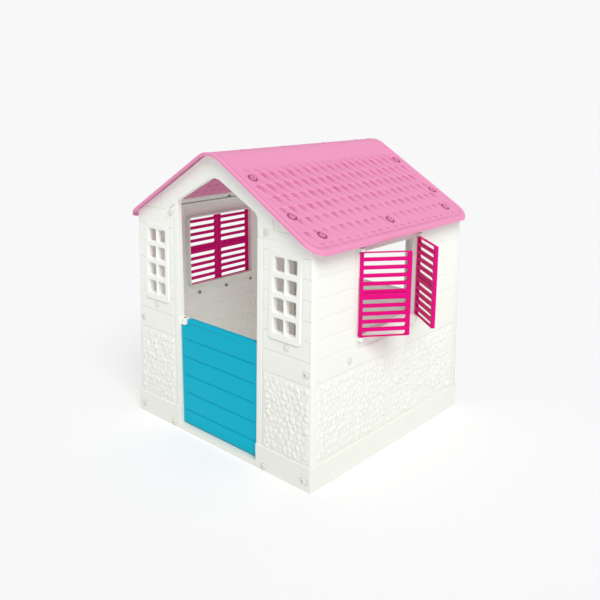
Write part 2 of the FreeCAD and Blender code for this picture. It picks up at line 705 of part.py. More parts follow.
def make_side_walls(fastenings):
    """Both side walls, with clearance holes for the plugs and bolts in them."""
    wall = make_side_wall()
    for fastening in fastenings:
        centre = fastening.BoundBox.Center
        start = V(half_width - skin - overrun, centre.y, centre.z)
        hole = Part.makeCylinder(bolt_hole_radius, skin + 2 * overrun, start, V(1, 0, 0))
        wall = wall.cut(hole)
    export("right_wall", wall)
    export("left_wall", mirror_x(wall))


make_front_and_back_walls()
make_sill()
make_back_infill()
make_side_walls(make_plugs())
make_roof()
make_roof_fasteners()
make_shutters()
make_door()
make_screws()
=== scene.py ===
"""Looks of a moulded plastic playhouse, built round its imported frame.

Sizes are millimetres in the frame's axes: x to the right of the doorway, y from the front wall to the
back one, z up from the floor. They turn into metres where a mesh is made.
"""
import logging
import math
from dataclasses import dataclass, field
from enum import Enum
from typing import Sequence

import bpy
import numpy as np
from mathutils import Matrix, Vector


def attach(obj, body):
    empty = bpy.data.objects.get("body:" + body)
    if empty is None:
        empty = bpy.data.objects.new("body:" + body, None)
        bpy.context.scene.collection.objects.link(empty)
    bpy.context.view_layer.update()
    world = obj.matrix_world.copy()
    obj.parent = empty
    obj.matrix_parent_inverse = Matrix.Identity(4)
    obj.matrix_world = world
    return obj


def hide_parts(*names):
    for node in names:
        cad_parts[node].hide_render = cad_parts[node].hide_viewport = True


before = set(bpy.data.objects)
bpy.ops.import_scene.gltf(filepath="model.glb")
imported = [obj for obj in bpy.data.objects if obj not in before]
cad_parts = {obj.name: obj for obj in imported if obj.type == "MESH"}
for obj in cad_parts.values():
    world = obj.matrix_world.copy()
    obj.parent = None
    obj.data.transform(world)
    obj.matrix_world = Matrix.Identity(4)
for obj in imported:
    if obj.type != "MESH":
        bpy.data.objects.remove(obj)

log = logging.getLogger("playhouse")
MM = 0.001
Array = np.ndarray
Colour = tuple[float, float, float]
Point = tuple[float, float, float]
Spot = tuple[Point, Point]

HOUSE_WIDTH, HOUSE_DEPTH = 896.0, 892.0
HALF_WIDTH = HOUSE_WIDTH / 2
SKIN, RIM, WALL_DEPTH = 3.5, 4.0, 20.0
PLINTH_HEIGHT, PLINTH_PROUD = 88.0, 16.0
FLARE = 11.0
ROOF_SLOPE = 0.60
ROOF_ANGLE = math.atan(ROOF_SLOPE)
ROOF_LINE_Z = 1102.0
UNDER_LINE_Z = ROOF_LINE_Z - SKIN / math.cos(ROOF_ANGLE)
RIDGE_RADIUS = 110.0
HALF_DOORWAY = 208.0
SEAM_X, SEAM_Z = 292.0, 820.0
COURSE, BRICK = 68.0, 136.0
BAND_Z = (365.0, 445.0)
BRICK_TOP = 1000.0
FLANGE_WIDTH, FLANGE_UPRIGHT, FLANGE_END_X, FLANGE_GAP = 48.0, 5.8, 400.0, 0.3
COLUMN_X, COLUMN_TOP = 235.0, 877.0
LEDGE_Z = (85.5, 90.0)
PANE_RADIUS, PANE_DEPTH = 5.0, 11.0
STONE_SIZE, STONE_HEIGHT, STONE_BED = 23.0, 6.2, 0.6
HINGE_X, HINGE_Y = 459.0, (240.0, 584.0)

# Middles of the heads: a pair's distance from the middle of the house and its height, or as the name says.
HIGH_CORNER_SCREW, LOW_CORNER_SCREW = (430.0, 403.0), (430.0, 34.0)
WALL_PLUG, SILL_SCREW, GABLE_SCREW = (343.0, 471.0), (245.0, 14.0), (248.0, 842.0)
SIDE_PLUG_Y, SIDE_PLUG_Z = (190.0, 702.0), 398.0
INNER_BOLT_Y, INNER_BOLT_Z = (293.0, 446.0, 599.0), 436.0
RIDGE_SCREW_X, RIDGE_SCREW_Y = 12.0, (120.0, 330.0, 560.0, 770.0)


def under_z(x: Array | float) -> Array:
    """Underside of the roof's skin above the walls at a distance x from the middle."""
    return UNDER_LINE_Z - ROOF_SLOPE * np.abs(x)


def lean(z: Array | float) -> Array:
    """How far a wall stands out at a height above its plinth: nothing at the eave, most at the plinth."""
    return FLARE * np.clip((SEAM_Z - z) / (SEAM_Z - PLINTH_HEIGHT), 0, 1)


def smooth(value: Array) -> Array:
    """Smooth step of a value that is first held between 0 and 1."""
    held = np.clip(value, 0.0, 1.0)
    return held * held * (3.0 - 2.0 * held)


# ---- finishes --------------------------------------------------------------------------------------
def linear(red: float, green: float, blue: float) -> Colour:
    """Linear colour of a display colour given from 0 to 255.

    Args:
        red: Red share.
        green: Green share.
        blue: Blue share.

    Returns:
        The colour's three linear shares from 0 to 1.
    """
    return tuple(c / 12.92 if c <= 0.04045 else ((c + 0.055) / 1.055) ** 2.4
                 for c in (red / 255, green / 255, blue / 255))


def new_group(name: str, inputs: Sequence[tuple[str, str, object]],
              outputs: Sequence[tuple[str, str]]
              ) -> tuple[bpy.types.NodeTree, bpy.types.Node, bpy.types.Node]:
    """Makes an empty shader group with named sockets.

    Args:
        name: Name of the group.
        inputs: Name, socket type and default value of each input.
        outputs: Name and socket type of each output.

    Returns:
        The group, its input node and its output node.
    """
    tree = bpy.data.node_groups.new(name, "ShaderNodeTree")
    for label, kind, value in inputs:
        tree.interface.new_socket(label, in_out="INPUT", socket_type=kind).default_value = value
    for label, kind in outputs:
        tree.interface.new_socket(label, in_out="OUTPUT", socket_type=kind)
    return tree, tree.nodes.new("NodeGroupInput"), tree.nodes.new("NodeGroupOutput")


def add_node(tree: bpy.types.NodeTree, kind: str, settings: dict | None = None,
             **inputs: object) -> bpy.types.Node:
    """Adds a node, sets its options, and sets or links its inputs.

    Args:
        tree: Node tree that gets the node.
        kind: Blender's name of the node type.
        settings: Options of the node by name.
        **inputs: Input values or sockets by name, with _ for a space, or by place as i0, i1.

    Returns:
        The new node.
    """
    node = tree.nodes.new(kind)
    for key, value in (settings or {}).items():
        setattr(node, key, value)
    for key, value in inputs.items():
        place = int(key[1:]) if key[0] == "i" and key[1:].isdigit() else key.replace("_", " ")
        if isinstance(value, bpy.types.NodeSocket):
            tree.links.new(value, node.inputs[place])
        else:
            node.inputs[place].default_value = value
    return node


def multiplied(tree: bpy.types.NodeTree, first: object, second: object) -> bpy.types.NodeSocket:
    """Product of two values or sockets."""
    return add_node(tree, "ShaderNodeMath", {"operation": "MULTIPLY"}, i0=first, i1=second).outputs[0]


def ramped(tree: bpy.types.NodeTree, value: object, start: float, end: float, low: float = 0.0,
           high: float = 1.0) -> bpy.types.NodeSocket:
    """Value carried from the span start to end onto the span low to high, and held beyond it."""
    return add_node(tree, "ShaderNodeMapRange", Value=value, From_Min=start, From_Max=end, To_Min=low,
                    To_Max=high).outputs[0]


def mixed(tree: bpy.types.NodeTree, share: object, first: object, second: object,
          blend: str = "MIX") -> bpy.types.NodeSocket:
    """First colour with a share of the second blended in."""
    return add_node(tree, "ShaderNodeMix", {"data_type": "RGBA", "blend_type": blend}, i0=share, i6=first,
                    i7=second).outputs[2]


def noise(tree: bpy.types.NodeTree, place: object, scale: object, detail: float) -> bpy.types.NodeSocket:
    """Soft noise from 0 to 1 at a place."""
    return add_node(tree, "ShaderNodeTexNoise", Vector=place, Scale=scale, Detail=detail).outputs["Fac"]


def moulding_grain() -> bpy.types.NodeTree:
    """Group for the fine matt texture of a mould and the slow unevenness of a cooled wall.

    Returns:
        The group.
    """
    tree, given, made = new_group(
        "moulding_grain", [("Grain Scale", "NodeSocketFloat", 900.0), ("Sink Scale", "NodeSocketFloat", 9.0)],
        [("Height", "NodeSocketFloat")])
    place = add_node(tree, "ShaderNodeTexCoord").outputs["Object"]
    grain = noise(tree, place, given.outputs["Grain Scale"], 3.0)
    sink = noise(tree, place, given.outputs["Sink Scale"], 2.0)
    height = add_node(tree, "ShaderNodeMath", {"operation": "ADD"}, i0=multiplied(tree, grain, 0.25), i1=sink)
    tree.links.new(height.outputs[0], made.inputs["Height"])
    return tree


def dust_wear_and_painted_light() -> bpy.types.NodeTree:
    """Group that gives a plastic its colour by the height of its moulding: wear, dust and painted light.

    Clouds of dust and painted shade lie where the moulding is low, high places turn lighter for wear and a
    painted highlight, the whole greys towards the floor by a share, and the deepest hollows get painted
    shade.

    Returns:
        The group.
    """
    tree, given, made = new_group(
        "dust_wear_and_painted_light",
        [("Color", "NodeSocketColor", (1, 1, 1, 1)), ("Dust Color", "NodeSocketColor", (.5, .5, .5, 1)),
         ("Rubbed Color", "NodeSocketColor", (1, 1, 1, 1)), ("Dust", "NodeSocketFloat", 0.5),
         ("Rubbed", "NodeSocketFloat", 0.3), ("Mottle", "NodeSocketFloat", 0.05),
         ("Grime", "NodeSocketFloat", 0.0)],
        [("Color", "NodeSocketColor")])
    place = add_node(tree, "ShaderNodeTexCoord").outputs["Object"]
    depth = add_node(tree, "ShaderNodeAttribute", {"attribute_name": "relief"}).outputs["Fac"]
    low, high = ramped(tree, depth, -0.1, -1.8), ramped(tree, depth, 1.5, 4.0)
    cloud = ramped(tree, noise(tree, place, 14.0, 4.0), 0.3, 0.7, 0.5, 1.0)
    # Dust and painted shade in the low places, in clouds.
    dust = multiplied(tree, multiplied(tree, low, cloud), given.outputs["Dust"])
    # High places turn lighter: wear and a painted highlight.
    rub_and_highlight = multiplied(tree, high, given.outputs["Rubbed"])
    mottle = multiplied(tree, cloud, given.outputs["Mottle"])
    tinted = mixed(tree, mottle, given.outputs["Color"], given.outputs["Dust Color"])
    with_dust_and_shade = mixed(tree, dust, tinted, given.outputs["Dust Color"])
    rubbed = mixed(tree, rub_and_highlight, with_dust_and_shade, given.outputs["Rubbed Color"])
    height = add_node(tree, "ShaderNodeSeparateXYZ", Vector=place).outputs["Z"]
    # The colour greys towards the floor.
    grime = multiplied(tree, ramped(tree, height, 0.70, 0.04), given.outputs["Grime"])
    greyed = mixed(tree, grime, rubbed, given.outputs["Dust Color"])
    # Painted shade: the deepest hollows are darkened towards a near-black red.
    deep = ramped(tree, depth, -4.5, -9.0, 0.0, 0.9)
    shaded = mixed(tree, deep, greyed, (0.16, 0.10, 0.13, 1.0), "MULTIPLY")
    tree.links.new(shaded, made.inputs["Color"])
    return tree


def hairline_scuffs() -> bpy.types.NodeTree:
    """Group for fine rubbed lines and shiny spots that change a surface's roughness.

    Returns:
        The group.
    """
    tree, given, made = new_group(
        "hairline_scuffs", [("Roughness", "NodeSocketFloat", 0.4), ("Spread", "NodeSocketFloat", 0.12)],
        [("Roughness", "NodeSocketFloat")])
    place = add_node(tree, "ShaderNodeTexCoord").outputs["Object"]
    turned = add_node(tree, "ShaderNodeMapping", Vector=place, Rotation=(0.6, 0.4, 0.9),
                      Scale=(6.0, 90.0, 22.0)).outputs[0]
    lines, spots = noise(tree, turned, 3.0, 4.0), noise(tree, place, 30.0, 3.0)
    both = add_node(tree, "ShaderNodeMath", {"operation": "ADD"}, i0=lines, i1=spots)
    centred = add_node(tree, "ShaderNodeMath", {"operation": "SUBTRACT"}, i0=both.outputs[0], i1=1.0)
    spread = multiplied(tree, centred.outputs[0], given.outputs["Spread"])
    rough = add_node(tree, "ShaderNodeMath", {"operation": "ADD", "use_clamp": True}, i0=spread,
                     i1=given.outputs["Roughness"])
    tree.links.new(rough.outputs[0], made.inputs["Roughness"])
    return tree


@dataclass(frozen=True)
class MouldedPlastic:
    """A coloured moulded plastic: grain, dust and painted shade where low, wear and painted highlight where
    high.
    """

    name: str
    colour: Colour
    # Low colour and share: dust and painted shade. High colour: wear and a painted highlight.
    dust: Colour
    rubbed: Colour
    dust_and_shade_share: float = 0.5
    roughness: float = 0.42
    spread: float = 0.14
    grain: float = 900.0
    bump: float = 0.25
    shine: float = 0.32
    grime: float = 0.0

    def material(self, groups: dict[str, bpy.types.NodeTree]) -> bpy.types.Material:
        """Makes the finish's material.

        Args:
            groups: The shared node groups by name.

        Returns:
            The material.
        """
        made = bpy.data.materials.new(self.name)
        made.use_nodes = True
        tree = made.node_tree
        shader = tree.nodes["Principled BSDF"]
        with_dust_and_shade = add_node(tree, "ShaderNodeGroup", {"node_tree": groups["dust_wear_and_painted_light"]},
                          Color=(*self.colour, 1), Dust_Color=(*self.dust, 1), Rubbed_Color=(*self.rubbed, 1),
                          Dust=self.dust_and_shade_share, Grime=self.grime)
        grain = add_node(tree, "ShaderNodeGroup", {"node_tree": groups["moulding_grain"]},
                         Grain_Scale=self.grain)
        scuffs = add_node(tree, "ShaderNodeGroup", {"node_tree": groups["hairline_scuffs"]},
                          Roughness=self.roughness, Spread=self.spread)
        bump = add_node(tree, "ShaderNodeBump", Height=grain.outputs["Height"], Strength=self.bump,
                        Distance=0.0012)
        tree.links.new(with_dust_and_shade.outputs["Color"], shader.inputs["Base Color"])
        tree.links.new(scuffs.outputs["Roughness"], shader.inputs["Roughness"])
        tree.links.new(bump.outputs["Normal"], shader.inputs["Normal"])
        shader.inputs["Specular IOR Level"].default_value = self.shine
        return made


class Finish(Enum):
    """Finishes of the playhouse, under the names of the record's material slots."""

    WALL = "white_wall"
    ROOF = "pink_roof"
    DOOR = "blue_door"
    SHUTTER = "magenta_shutter"
    SCREW = "white_screw"
    BOLT = "pink_bolt"
    NUT = "grey_nut"
    PIN = "hinge_pin"


# Low colours give dust and painted shade in hollows, recesses and the rings round heads; high colours give
# wear and a painted highlight.
PLASTICS = {
    Finish.WALL: MouldedPlastic("white_wall_plastic", linear(245, 248, 242), linear(196, 190, 175),
                                linear(250, 251, 248), 0.35, 0.46, 0.12, 1100.0, 0.18, grime=0.30),
    # The roof's deep pink low colour is mostly painted shade in the tiles' hollows and round the bolts.
    Finish.ROOF: MouldedPlastic("pink_roof_plastic", linear(232, 147, 187), linear(176, 60, 118),
                                linear(240, 166, 200), 0.62, 0.46, 0.14, 900.0, 0.22),
    Finish.DOOR: MouldedPlastic("blue_door_plastic", linear(0, 176, 203), linear(0, 122, 158),
                                linear(10, 190, 216), 0.55, 0.48, 0.12, 1000.0, 0.18, shine=0.10),
    Finish.SHUTTER: MouldedPlastic("magenta_shutter_plastic", linear(222, 0, 124), linear(158, 0, 84),
                                   linear(238, 24, 146), 0.4, 0.42, 0.12, 1000.0, 0.18, shine=0.12),
    Finish.SCREW: MouldedPlastic("white_screw_plastic", linear(226, 223, 214), linear(150, 143, 130),
                                 linear(246, 245, 240), 0.8, 0.40, 0.12, 1400.0, 0.2),
    # The bolts' near-black low colour is painted shade in their cross recesses.
    Finish.BOLT: MouldedPlastic("pink_bolt_plastic", linear(224, 128, 172), linear(96, 24, 60),
                                linear(226, 130, 172), 0.9, 0.38, 0.12, 1400.0, 0.2),
    Finish.NUT: MouldedPlastic("grey_nut_plastic", linear(150, 144, 134), linear(92, 86, 80),
                               linear(160, 156, 150), 0.6, 0.45, 0.14, 1500.0, 0.2),
    Finish.PIN: MouldedPlastic("hinge_pin_plastic", linear(214, 210, 202), linear(150, 146, 138),
                               linear(236, 234, 228), 0.4, 0.35, 0.10, 1400.0, 0.15),
}


# ---- outlines and grids ----------------------------------------------------------------------------
def rounded(corners: Sequence[tuple[float, float, float]], steps: int = 7) -> Array:
    """Closed outline through corners, each with its own radius.

    A corner's points go round the circle that touches both of its sides, from the first side to the second.

    Args:
        corners: Place and radius of each corner, counter-clockwise.
        steps: Points on each rounded corner.

    Returns:
        The outline's points, one row each.
    """
    made = []
    for i, (x, z, radius) in enumerate(corners):
        point = np.array([x, z])
        if radius <= 0:
            made.append(point[None])
            continue
        before = np.array(corners[i - 1][:2]) - point
        after = np.array(corners[(i + 1) % len(corners)][:2]) - point
        before, after = before / np.linalg.norm(before), after / np.linalg.norm(after)
        half = math.acos(float(before @ after)) / 2
        centre = point + (before + after) / np.linalg.norm(before + after) * radius / math.sin(half)
        start = point + before * radius / math.tan(half) - centre
        end = point + after * radius / math.tan(half) - centre
        share = np.linspace(0, 1, steps)[:, None]
        turn = math.pi - 2 * half
        arc = (np.sin((1 - share) * turn) * start + np.sin(share * turn) * end) / math.sin(turn)
        made.append(centre + arc)
    return np.concatenate(made)


def rectangle(x0: float, x1: float, z0: float, z1: float, radius: float = 0.0) -> Array:
    """Counter-clockwise rounded rectangle."""
    return rounded([(x0, z0, radius), (x1, z0, radius), (x1, z1, radius), (x0, z1, radius)])


def rect_distance(u: Array, v: Array, x0: float, x1: float, z0: float, z1: float, radius: float) -> Array:
    """Signed distance to a rounded rectangle, positive inside.

    The distance outside the rectangle's shrunk core, less the radius, with its sign turned.

    Args:
        u: Along places.
        v: Up places.
        x0: Low side along.
        x1: High side along.
        z0: Low side up.
        z1: High side up.
        radius: Radius of the corners.

    Returns:
        The distance at each place.
    """
    p = np.abs(u - (x0 + x1) / 2) - (x1 - x0) / 2 + radius
    q = np.abs(v - (z0 + z1) / 2) - (z1 - z0) / 2 + radius
    outside = np.hypot(np.maximum(p, 0), np.maximum(q, 0)) + np.minimum(np.maximum(p, q), 0)
    return radius - outside


@dataclass
class Outline:
    """Edge of a flat piece and the edges of its openings."""

    edge: Array
    holes: list[Array] = field(default_factory=list)

    def nearest(self, points: Array) -> tuple[Array, Array, Array]:
        """Finds each point's nearest place on the outline and whether it is inside.

        The nearest place is the closest foot of a perpendicular over all sides, and a point is inside where a
        line to the right of it crosses the sides an odd number of times.

        Args:
            points: Points, one row each.

        Returns:
            The distance to the outline, the nearest place, and the inside mark of each point.
        """
        best = np.full(len(points), np.inf)
        place = np.zeros_like(points)
        crossings = np.zeros(len(points), bool)
        for loop in [self.edge, *self.holes]:
            for start, end in zip(loop, np.roll(loop, -1, axis=0)):
                side = end - start
                share = np.clip((points - start) @ side / max(side @ side, 1e-12), 0, 1)
                foot = start + share[:, None] * side
                gap = np.linalg.norm(points - foot, axis=1)
                closer = gap < best
                best[closer], place[closer] = gap[closer], foot[closer]
                if start[1] != end[1]:
                    level = (start[1] > points[:, 1]) != (end[1] > points[:, 1])
                    cross = start[0] + (points[:, 1] - start[1]) * side[0] / side[1]
                    crossings ^= level & (points[:, 0] < cross)
        return best, place, crossings


def grid_lines(start: float, end: float, pitch: float, marks: Sequence[float] = ()) -> Array:
    """Grid lines between two ends that keep every mark and fill the gaps evenly.

    Args:
        start: First line.
        end: Last line.
        pitch: Widest gap between lines.
        marks: Places that get a line of their own.

    Returns:
        The lines in rising order.
    """
    keys = np.unique(np.round([start, end, *(m for m in marks if start < m < end)], 3))
    keep = np.concatenate([[True], np.diff(keys) > 0.3])
    keys = keys[keep]
    keys[-1] = end
    spans = [np.linspace(a, b, max(1, math.ceil((b - a) / pitch)), endpoint=False)
             for a, b in zip(keys[:-1], keys[1:])]
    return np.concatenate([*spans, [end]])


def edge_marks(place: float, side: int, rim: float = RIM) -> list[float]:
    """Lines beside an edge, on the material's side, for its rounding and the rim behind it."""
    return [place + side * d for d in (0.0, 0.5, 1.6, rim, rim + 0.9)]


def groove_marks(place: float, half: float = 3.0) -> list[float]:
    """Lines across a groove."""
    return [place - half, place - half * 0.45, place, place + half * 0.45, place + half]


def groove(distance: Array, half: float, depth: float) -> Array:
    """Height of a soft groove: minus the depth at its middle line, rising smoothly to 0 at its half width."""
    return -depth * smooth(1 - np.abs(distance) / half)


def edge_drop(distance: Array, radius: float) -> Array:
    """How far a rounded edge falls below the face, a quarter circle within the radius of the edge."""
    inside = np.clip(radius - distance, 0, radius)
    return radius - np.sqrt(np.maximum(radius ** 2 - inside ** 2, 0))


def cobbles(u: Array, v: Array, zone: tuple[float, float, float, float], seed: int) -> Array:
    """Height of rounded cobbles packed into a zone.

    Stones stand round jittered seeds. A place's height rises with the gap between its distances to the second
    nearest seed and to the nearest as a quarter circle, from a bed just below the plain wall up to the
    stone's own height, with a slight tilt, and fades out along the zone's edge.

    Args:
        u: Places across the wall.
        v: Heights above the floor.
        zone: Low and high u, low and high v of the zone.
        seed: Seed of the stones' places.

    Returns:
        The height at each place.
    """
    u0, u1, v0, v1 = zone
    size = STONE_SIZE
    random = np.random.default_rng(seed)
    nu, nv = int((u1 - u0) / size) + 3, int((v1 - v0) / size) + 3
    cu, cv = np.meshgrid(np.arange(nu) - 1, np.arange(nv) - 1, indexing="ij")
    seeds = np.stack([u0 + (cu + 0.5 * (cv % 2)) * size, v0 + cv * size], -1).reshape(-1, 2)
    seeds = seeds + random.uniform(-0.36, 0.36, seeds.shape) * size
    tall = random.uniform(0.45, 1.0, len(seeds))
    tilt = random.uniform(-0.07, 0.07, (len(seeds), 2))
    inside = (u > u0) & (u < u1) & (v > v0) & (v < v1)
    height = np.zeros_like(u)
    points = np.stack([u[inside], v[inside]], -1)
    first, second = np.full(len(points), 1e9), np.full(len(points), 1e9)
    owner = np.zeros(len(points), int)
    for k, place in enumerate(seeds):
        gap = np.hypot(*(points - place).T)
        closer = gap < first
        second = np.where(closer, first, np.minimum(second, gap))
        owner = np.where(closer, k, owner)
        first = np.where(closer, gap, first)
    share = np.clip((second - first) / size, 0, 1)
    round_top = np.sqrt(np.maximum(1 - (1 - np.minimum(share * 1.35, 1)) ** 2, 0))
    stone = STONE_HEIGHT * tall[owner] * round_top - STONE_BED
    stone += ((points - seeds[owner]) * tilt[owner]).sum(1)
    border = np.minimum.reduce([points[:, 0] - u0, u1 - points[:, 0], points[:, 1] - v0, v1 - points[:, 1]])
    height[inside] = (stone - STONE_BED) * smooth(border / 9.0)
    return height


# ---- meshes ----------------------------------------------------------------------------------------
class Place(Enum):
    """Where a wall piece stands: the frame axes of its along, outward and up directions, and its origin."""

    FRONT_RIGHT = ((1, 0, 0), (0, -1, 0), (0, 0, 1), (0, 0, 0))
    FRONT_LEFT = ((-1, 0, 0), (0, -1, 0), (0, 0, 1), (0, 0, 0))
    BACK_RIGHT = ((1, 0, 0), (0, 1, 0), (0, 0, 1), (0, HOUSE_DEPTH, 0))
    BACK_LEFT = ((-1, 0, 0), (0, 1, 0), (0, 0, 1), (0, HOUSE_DEPTH, 0))
    RIGHT = ((0, 1, 0), (1, 0, 0), (0, 0, 1), (HALF_WIDTH, 0, 0))
    LEFT = ((0, 1, 0), (-1, 0, 0), (0, 0, 1), (-HALF_WIDTH, 0, 0))
    FRAME = ((1, 0, 0), (0, 1, 0), (0, 0, 1), (0, 0, 0))
    FRAME_MIRRORED = ((-1, 0, 0), (0, 1, 0), (0, 0, 1), (0, 0, 0))

    def apply(self, points: Array) -> tuple[Array, bool]:
        """Carries points from along, outward and up into the frame.

        Args:
            points: Points, one row each.

        Returns:
            The carried points, and whether the faces drawn along first and up second look inwards.
        """
        along, outward, up, origin = (np.array(a, float) for a in self.value)
        turned = float(np.cross(along, up) @ outward)
        flip = turned < 0 if self not in (Place.FRAME, Place.FRAME_MIRRORED) else self is Place.FRAME_MIRRORED
        return points @ np.stack([along, outward, up]) + origin, flip


class Moulding:
    """Collects the faces of one piece and makes its object."""

    def __init__(self) -> None:
        """Starts with no faces."""
        self.points: list[Array] = []
        self.faces: list[tuple[int, ...]] = []
        self.relief: list[Array] = []

    def add(self, points: Array, faces: Sequence[Sequence[int]], relief: Array | None = None) -> None:
        """Adds points and faces that count their own points from 0.

        Args:
            points: Points, one row each.
            faces: Corners of each face.
            relief: Height of each point over the plain face, for the finish.
        """
        start = sum(len(p) for p in self.points)
        self.points.append(points)
        self.relief.append(np.zeros(len(points)) if relief is None else relief)
        self.faces.extend(tuple(int(c) + start for c in f) for f in faces)

    def slab(self, loop: Array, low: float, high: float, axes: str, bevel: float = 1.0) -> None:
        """Adds a straight bar with softened ends: a closed loop carried from one level to another.

        The loop is drawn in at both ends by the bevel, towards its own middle line.

        Args:
            loop: Counter-clockwise points in the plane of the first two axes.
            low: First level on the third axis.
            high: Last level.
            axes: Order of the frame's axes that the loop's two and the level stand for.
            bevel: Size of the softened edges.
        """
        after, before = np.roll(loop, -1, axis=0) - loop, loop - np.roll(loop, 1, axis=0)
        normals = [np.stack([d[:, 1], -d[:, 0]], -1) / np.maximum(np.linalg.norm(d, axis=1), 1e-9)[:, None]
                   for d in (after, before)]
        out = normals[0] + normals[1]
        out = out / np.maximum((out * normals[0]).sum(1), 0.3)[:, None]
        rings = [(bevel, low), (0.0, low + bevel), (0.0, high - bevel), (bevel, high)]
        points = np.concatenate([np.column_stack([loop - out * inset, np.full(len(loop), level)])
                                 for inset, level in rings])
        order = ["xyz".index(a) for a in axes]
        carried = np.zeros_like(points)
        carried[:, order] = points
        n = len(loop)
        i = np.arange(n)
        j = (i + 1) % n
        sides = np.concatenate([np.stack([k * n + i, k * n + j, k * n + n + j, k * n + n + i], -1)
                                for k in range(3)])
        faces = [*sides.tolist(), list(range(n))[::-1], list(range(3 * n, 4 * n))]
        odd = axes in ("xzy", "zyx", "yxz")
        self.add(carried, [f[::-1] for f in faces] if odd else faces)

    def build(self, name: str, body: str, finish: Finish, place: Place = Place.FRAME,
              nodes: Sequence[str] = (), sharp: float = 40.0) -> bpy.types.Object:
        """Makes the piece's object, dresses it and ties it to its body.

        Args:
            name: Name of the piece.
            body: Body that the piece moves with.
            finish: Finish of the piece.
            place: Where the collected points stand.
            nodes: Frame nodes that the piece stands for.
            sharp: Smallest angle in degrees between faces that stays a sharp edge.

        Returns:
            The piece's object.
        """
        points, flip = place.apply(np.concatenate(self.points))
        faces = [f[::-1] for f in self.faces] if flip else self.faces
        mesh = bpy.data.meshes.new(name)
        mesh.from_pydata((points * MM).tolist(), [], faces)
        mesh.attributes.new("relief", "FLOAT", "POINT").data.foreach_set(
            "value", np.concatenate(self.relief).astype(np.float32))
        mesh.shade_smooth()
        mesh.set_sharp_from_angle(angle=math.radians(sharp))
        mesh.materials.append(bpy.data.materials[PLASTICS[finish].name])
        piece = bpy.data.objects.new(name, mesh)
        bpy.context.scene.collection.objects.link(piece)
        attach(piece, body)
        if nodes:
            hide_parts(*nodes)
        log.info("%s: %d faces on %s", name, len(faces), body)
        return piece


def shell_faces(keep: Array) -> tuple[Array, Array, Array]:
    """Faces of a double sheet on a grid of kept cells, closed round its edges.

    The second sheet's points follow the first sheet's, in the same order. Every side of a kept cell with no
    kept neighbour joins the two sheets.

    Args:
        keep: Whether each cell is kept.

    Returns:
        The faces, the used points' marks, and the marks of the points on an edge, on one sheet.
    """
    nu, nv = keep.shape[0] + 1, keep.shape[1] + 1
    number = np.arange(nu * nv).reshape(nu, nv)
    a, b, c, d = number[:-1, :-1], number[1:, :-1], number[1:, 1:], number[:-1, 1:]
    front = np.stack([a, b, c, d], -1)[keep]
    back = front[:, ::-1] + nu * nv
    padded = np.pad(keep, 1)
    rims = []
    for start, end, neighbour in ((a, b, padded[1:-1, :-2]), (b, c, padded[2:, 1:-1]),
                                  (c, d, padded[1:-1, 2:]), (d, a, padded[:-2, 1:-1])):
        open_side = keep & ~neighbour
        rims.append(np.stack([start[open_side], end[open_side]], -1))
    rims = np.concatenate(rims)
    walls = np.stack([rims[:, 1], rims[:, 0], rims[:, 0] + nu * nv, rims[:, 1] + nu * nv], -1)
    used, edge = np.zeros(nu * nv, bool), np.zeros(nu * nv, bool)
    used[front.ravel()] = True
    edge[rims.ravel()] = True
    return np.concatenate([front, back, walls]), used, edge


def add_shell(moulding: Moulding, keep: Array, outer: Array, inner: Array, relief: Array) -> None:
    """Adds a double sheet to a moulding.

    Args:
        moulding: Moulding that gets the faces.
        keep: Whether each cell of the grid is kept.
        outer: Outer points on the grid.
        inner: Inner points on the grid.
        relief: Height over the plain face at the outer points.
    """
    faces, used, _ = shell_faces(keep)
    marks = np.concatenate([used, used])
    number = np.cumsum(marks) - 1
    points = np.concatenate([outer.reshape(-1, 3), inner.reshape(-1, 3)])[marks]
    heights = np.concatenate([relief.ravel(), 0.5 * relief.ravel()])[marks]
    moulding.add(points, number[faces], heights)


def snapped(u: Array, v: Array, keep: Array, outline: Outline, reach: float) -> tuple[Array, Array]:
    """Moves the grid's edge points onto the outline where they are within reach of it.

    Args:
        u: Along places on the grid.
        v: Up places on the grid.
        keep: Whether each cell is kept.
        outline: Outline that the edge follows.
        reach: Farthest move.

    Returns:
        The moved places.
    """
    _, _, edge = shell_faces(keep)
    points = np.stack([u.ravel(), v.ravel()], -1)
    gap, foot, _ = outline.nearest(points[edge])
    moved = points.copy()
    moved[edge] = np.where((gap < reach)[:, None], foot, points[edge])
    return moved[:, 0].reshape(u.shape), moved[:, 1].reshape(v.shape)


def cell_middles(lines_u: Array, lines_v: Array) -> Array:
    """Middle points of a grid's cells, one row each."""
    mu, mv = np.meshgrid((lines_u[1:] + lines_u[:-1]) / 2, (lines_v[1:] + lines_v[:-1]) / 2, indexing="ij")
    return np.stack([mu.ravel(), mv.ravel()], -1)


def cut_grid(lines_u: Array, lines_v: Array, outline: Outline, reach: float) -> tuple[Array, Array, Array]:
    """Grid cut to an outline, with its edge points moved onto it.

    Args:
        lines_u: Grid lines along.
        lines_v: Grid lines up.
        outline: Outline that the grid is cut to.
        reach: Farthest move of an edge point.

    Returns:
        The along places, the up places, and whether each cell is kept.
    """
    keep = outline.nearest(cell_middles(lines_u, lines_v))[2].reshape(len(lines_u) - 1, len(lines_v) - 1)
    u, v = snapped(*np.meshgrid(lines_u, lines_v, indexing="ij"), keep, outline, reach)
    return u, v, keep


def edge_gap(u: Array, v: Array, outline: Outline) -> Array:
    """Distance of each place to an outline."""
    return outline.nearest(np.stack([u.ravel(), v.ravel()], -1))[0].reshape(u.shape)


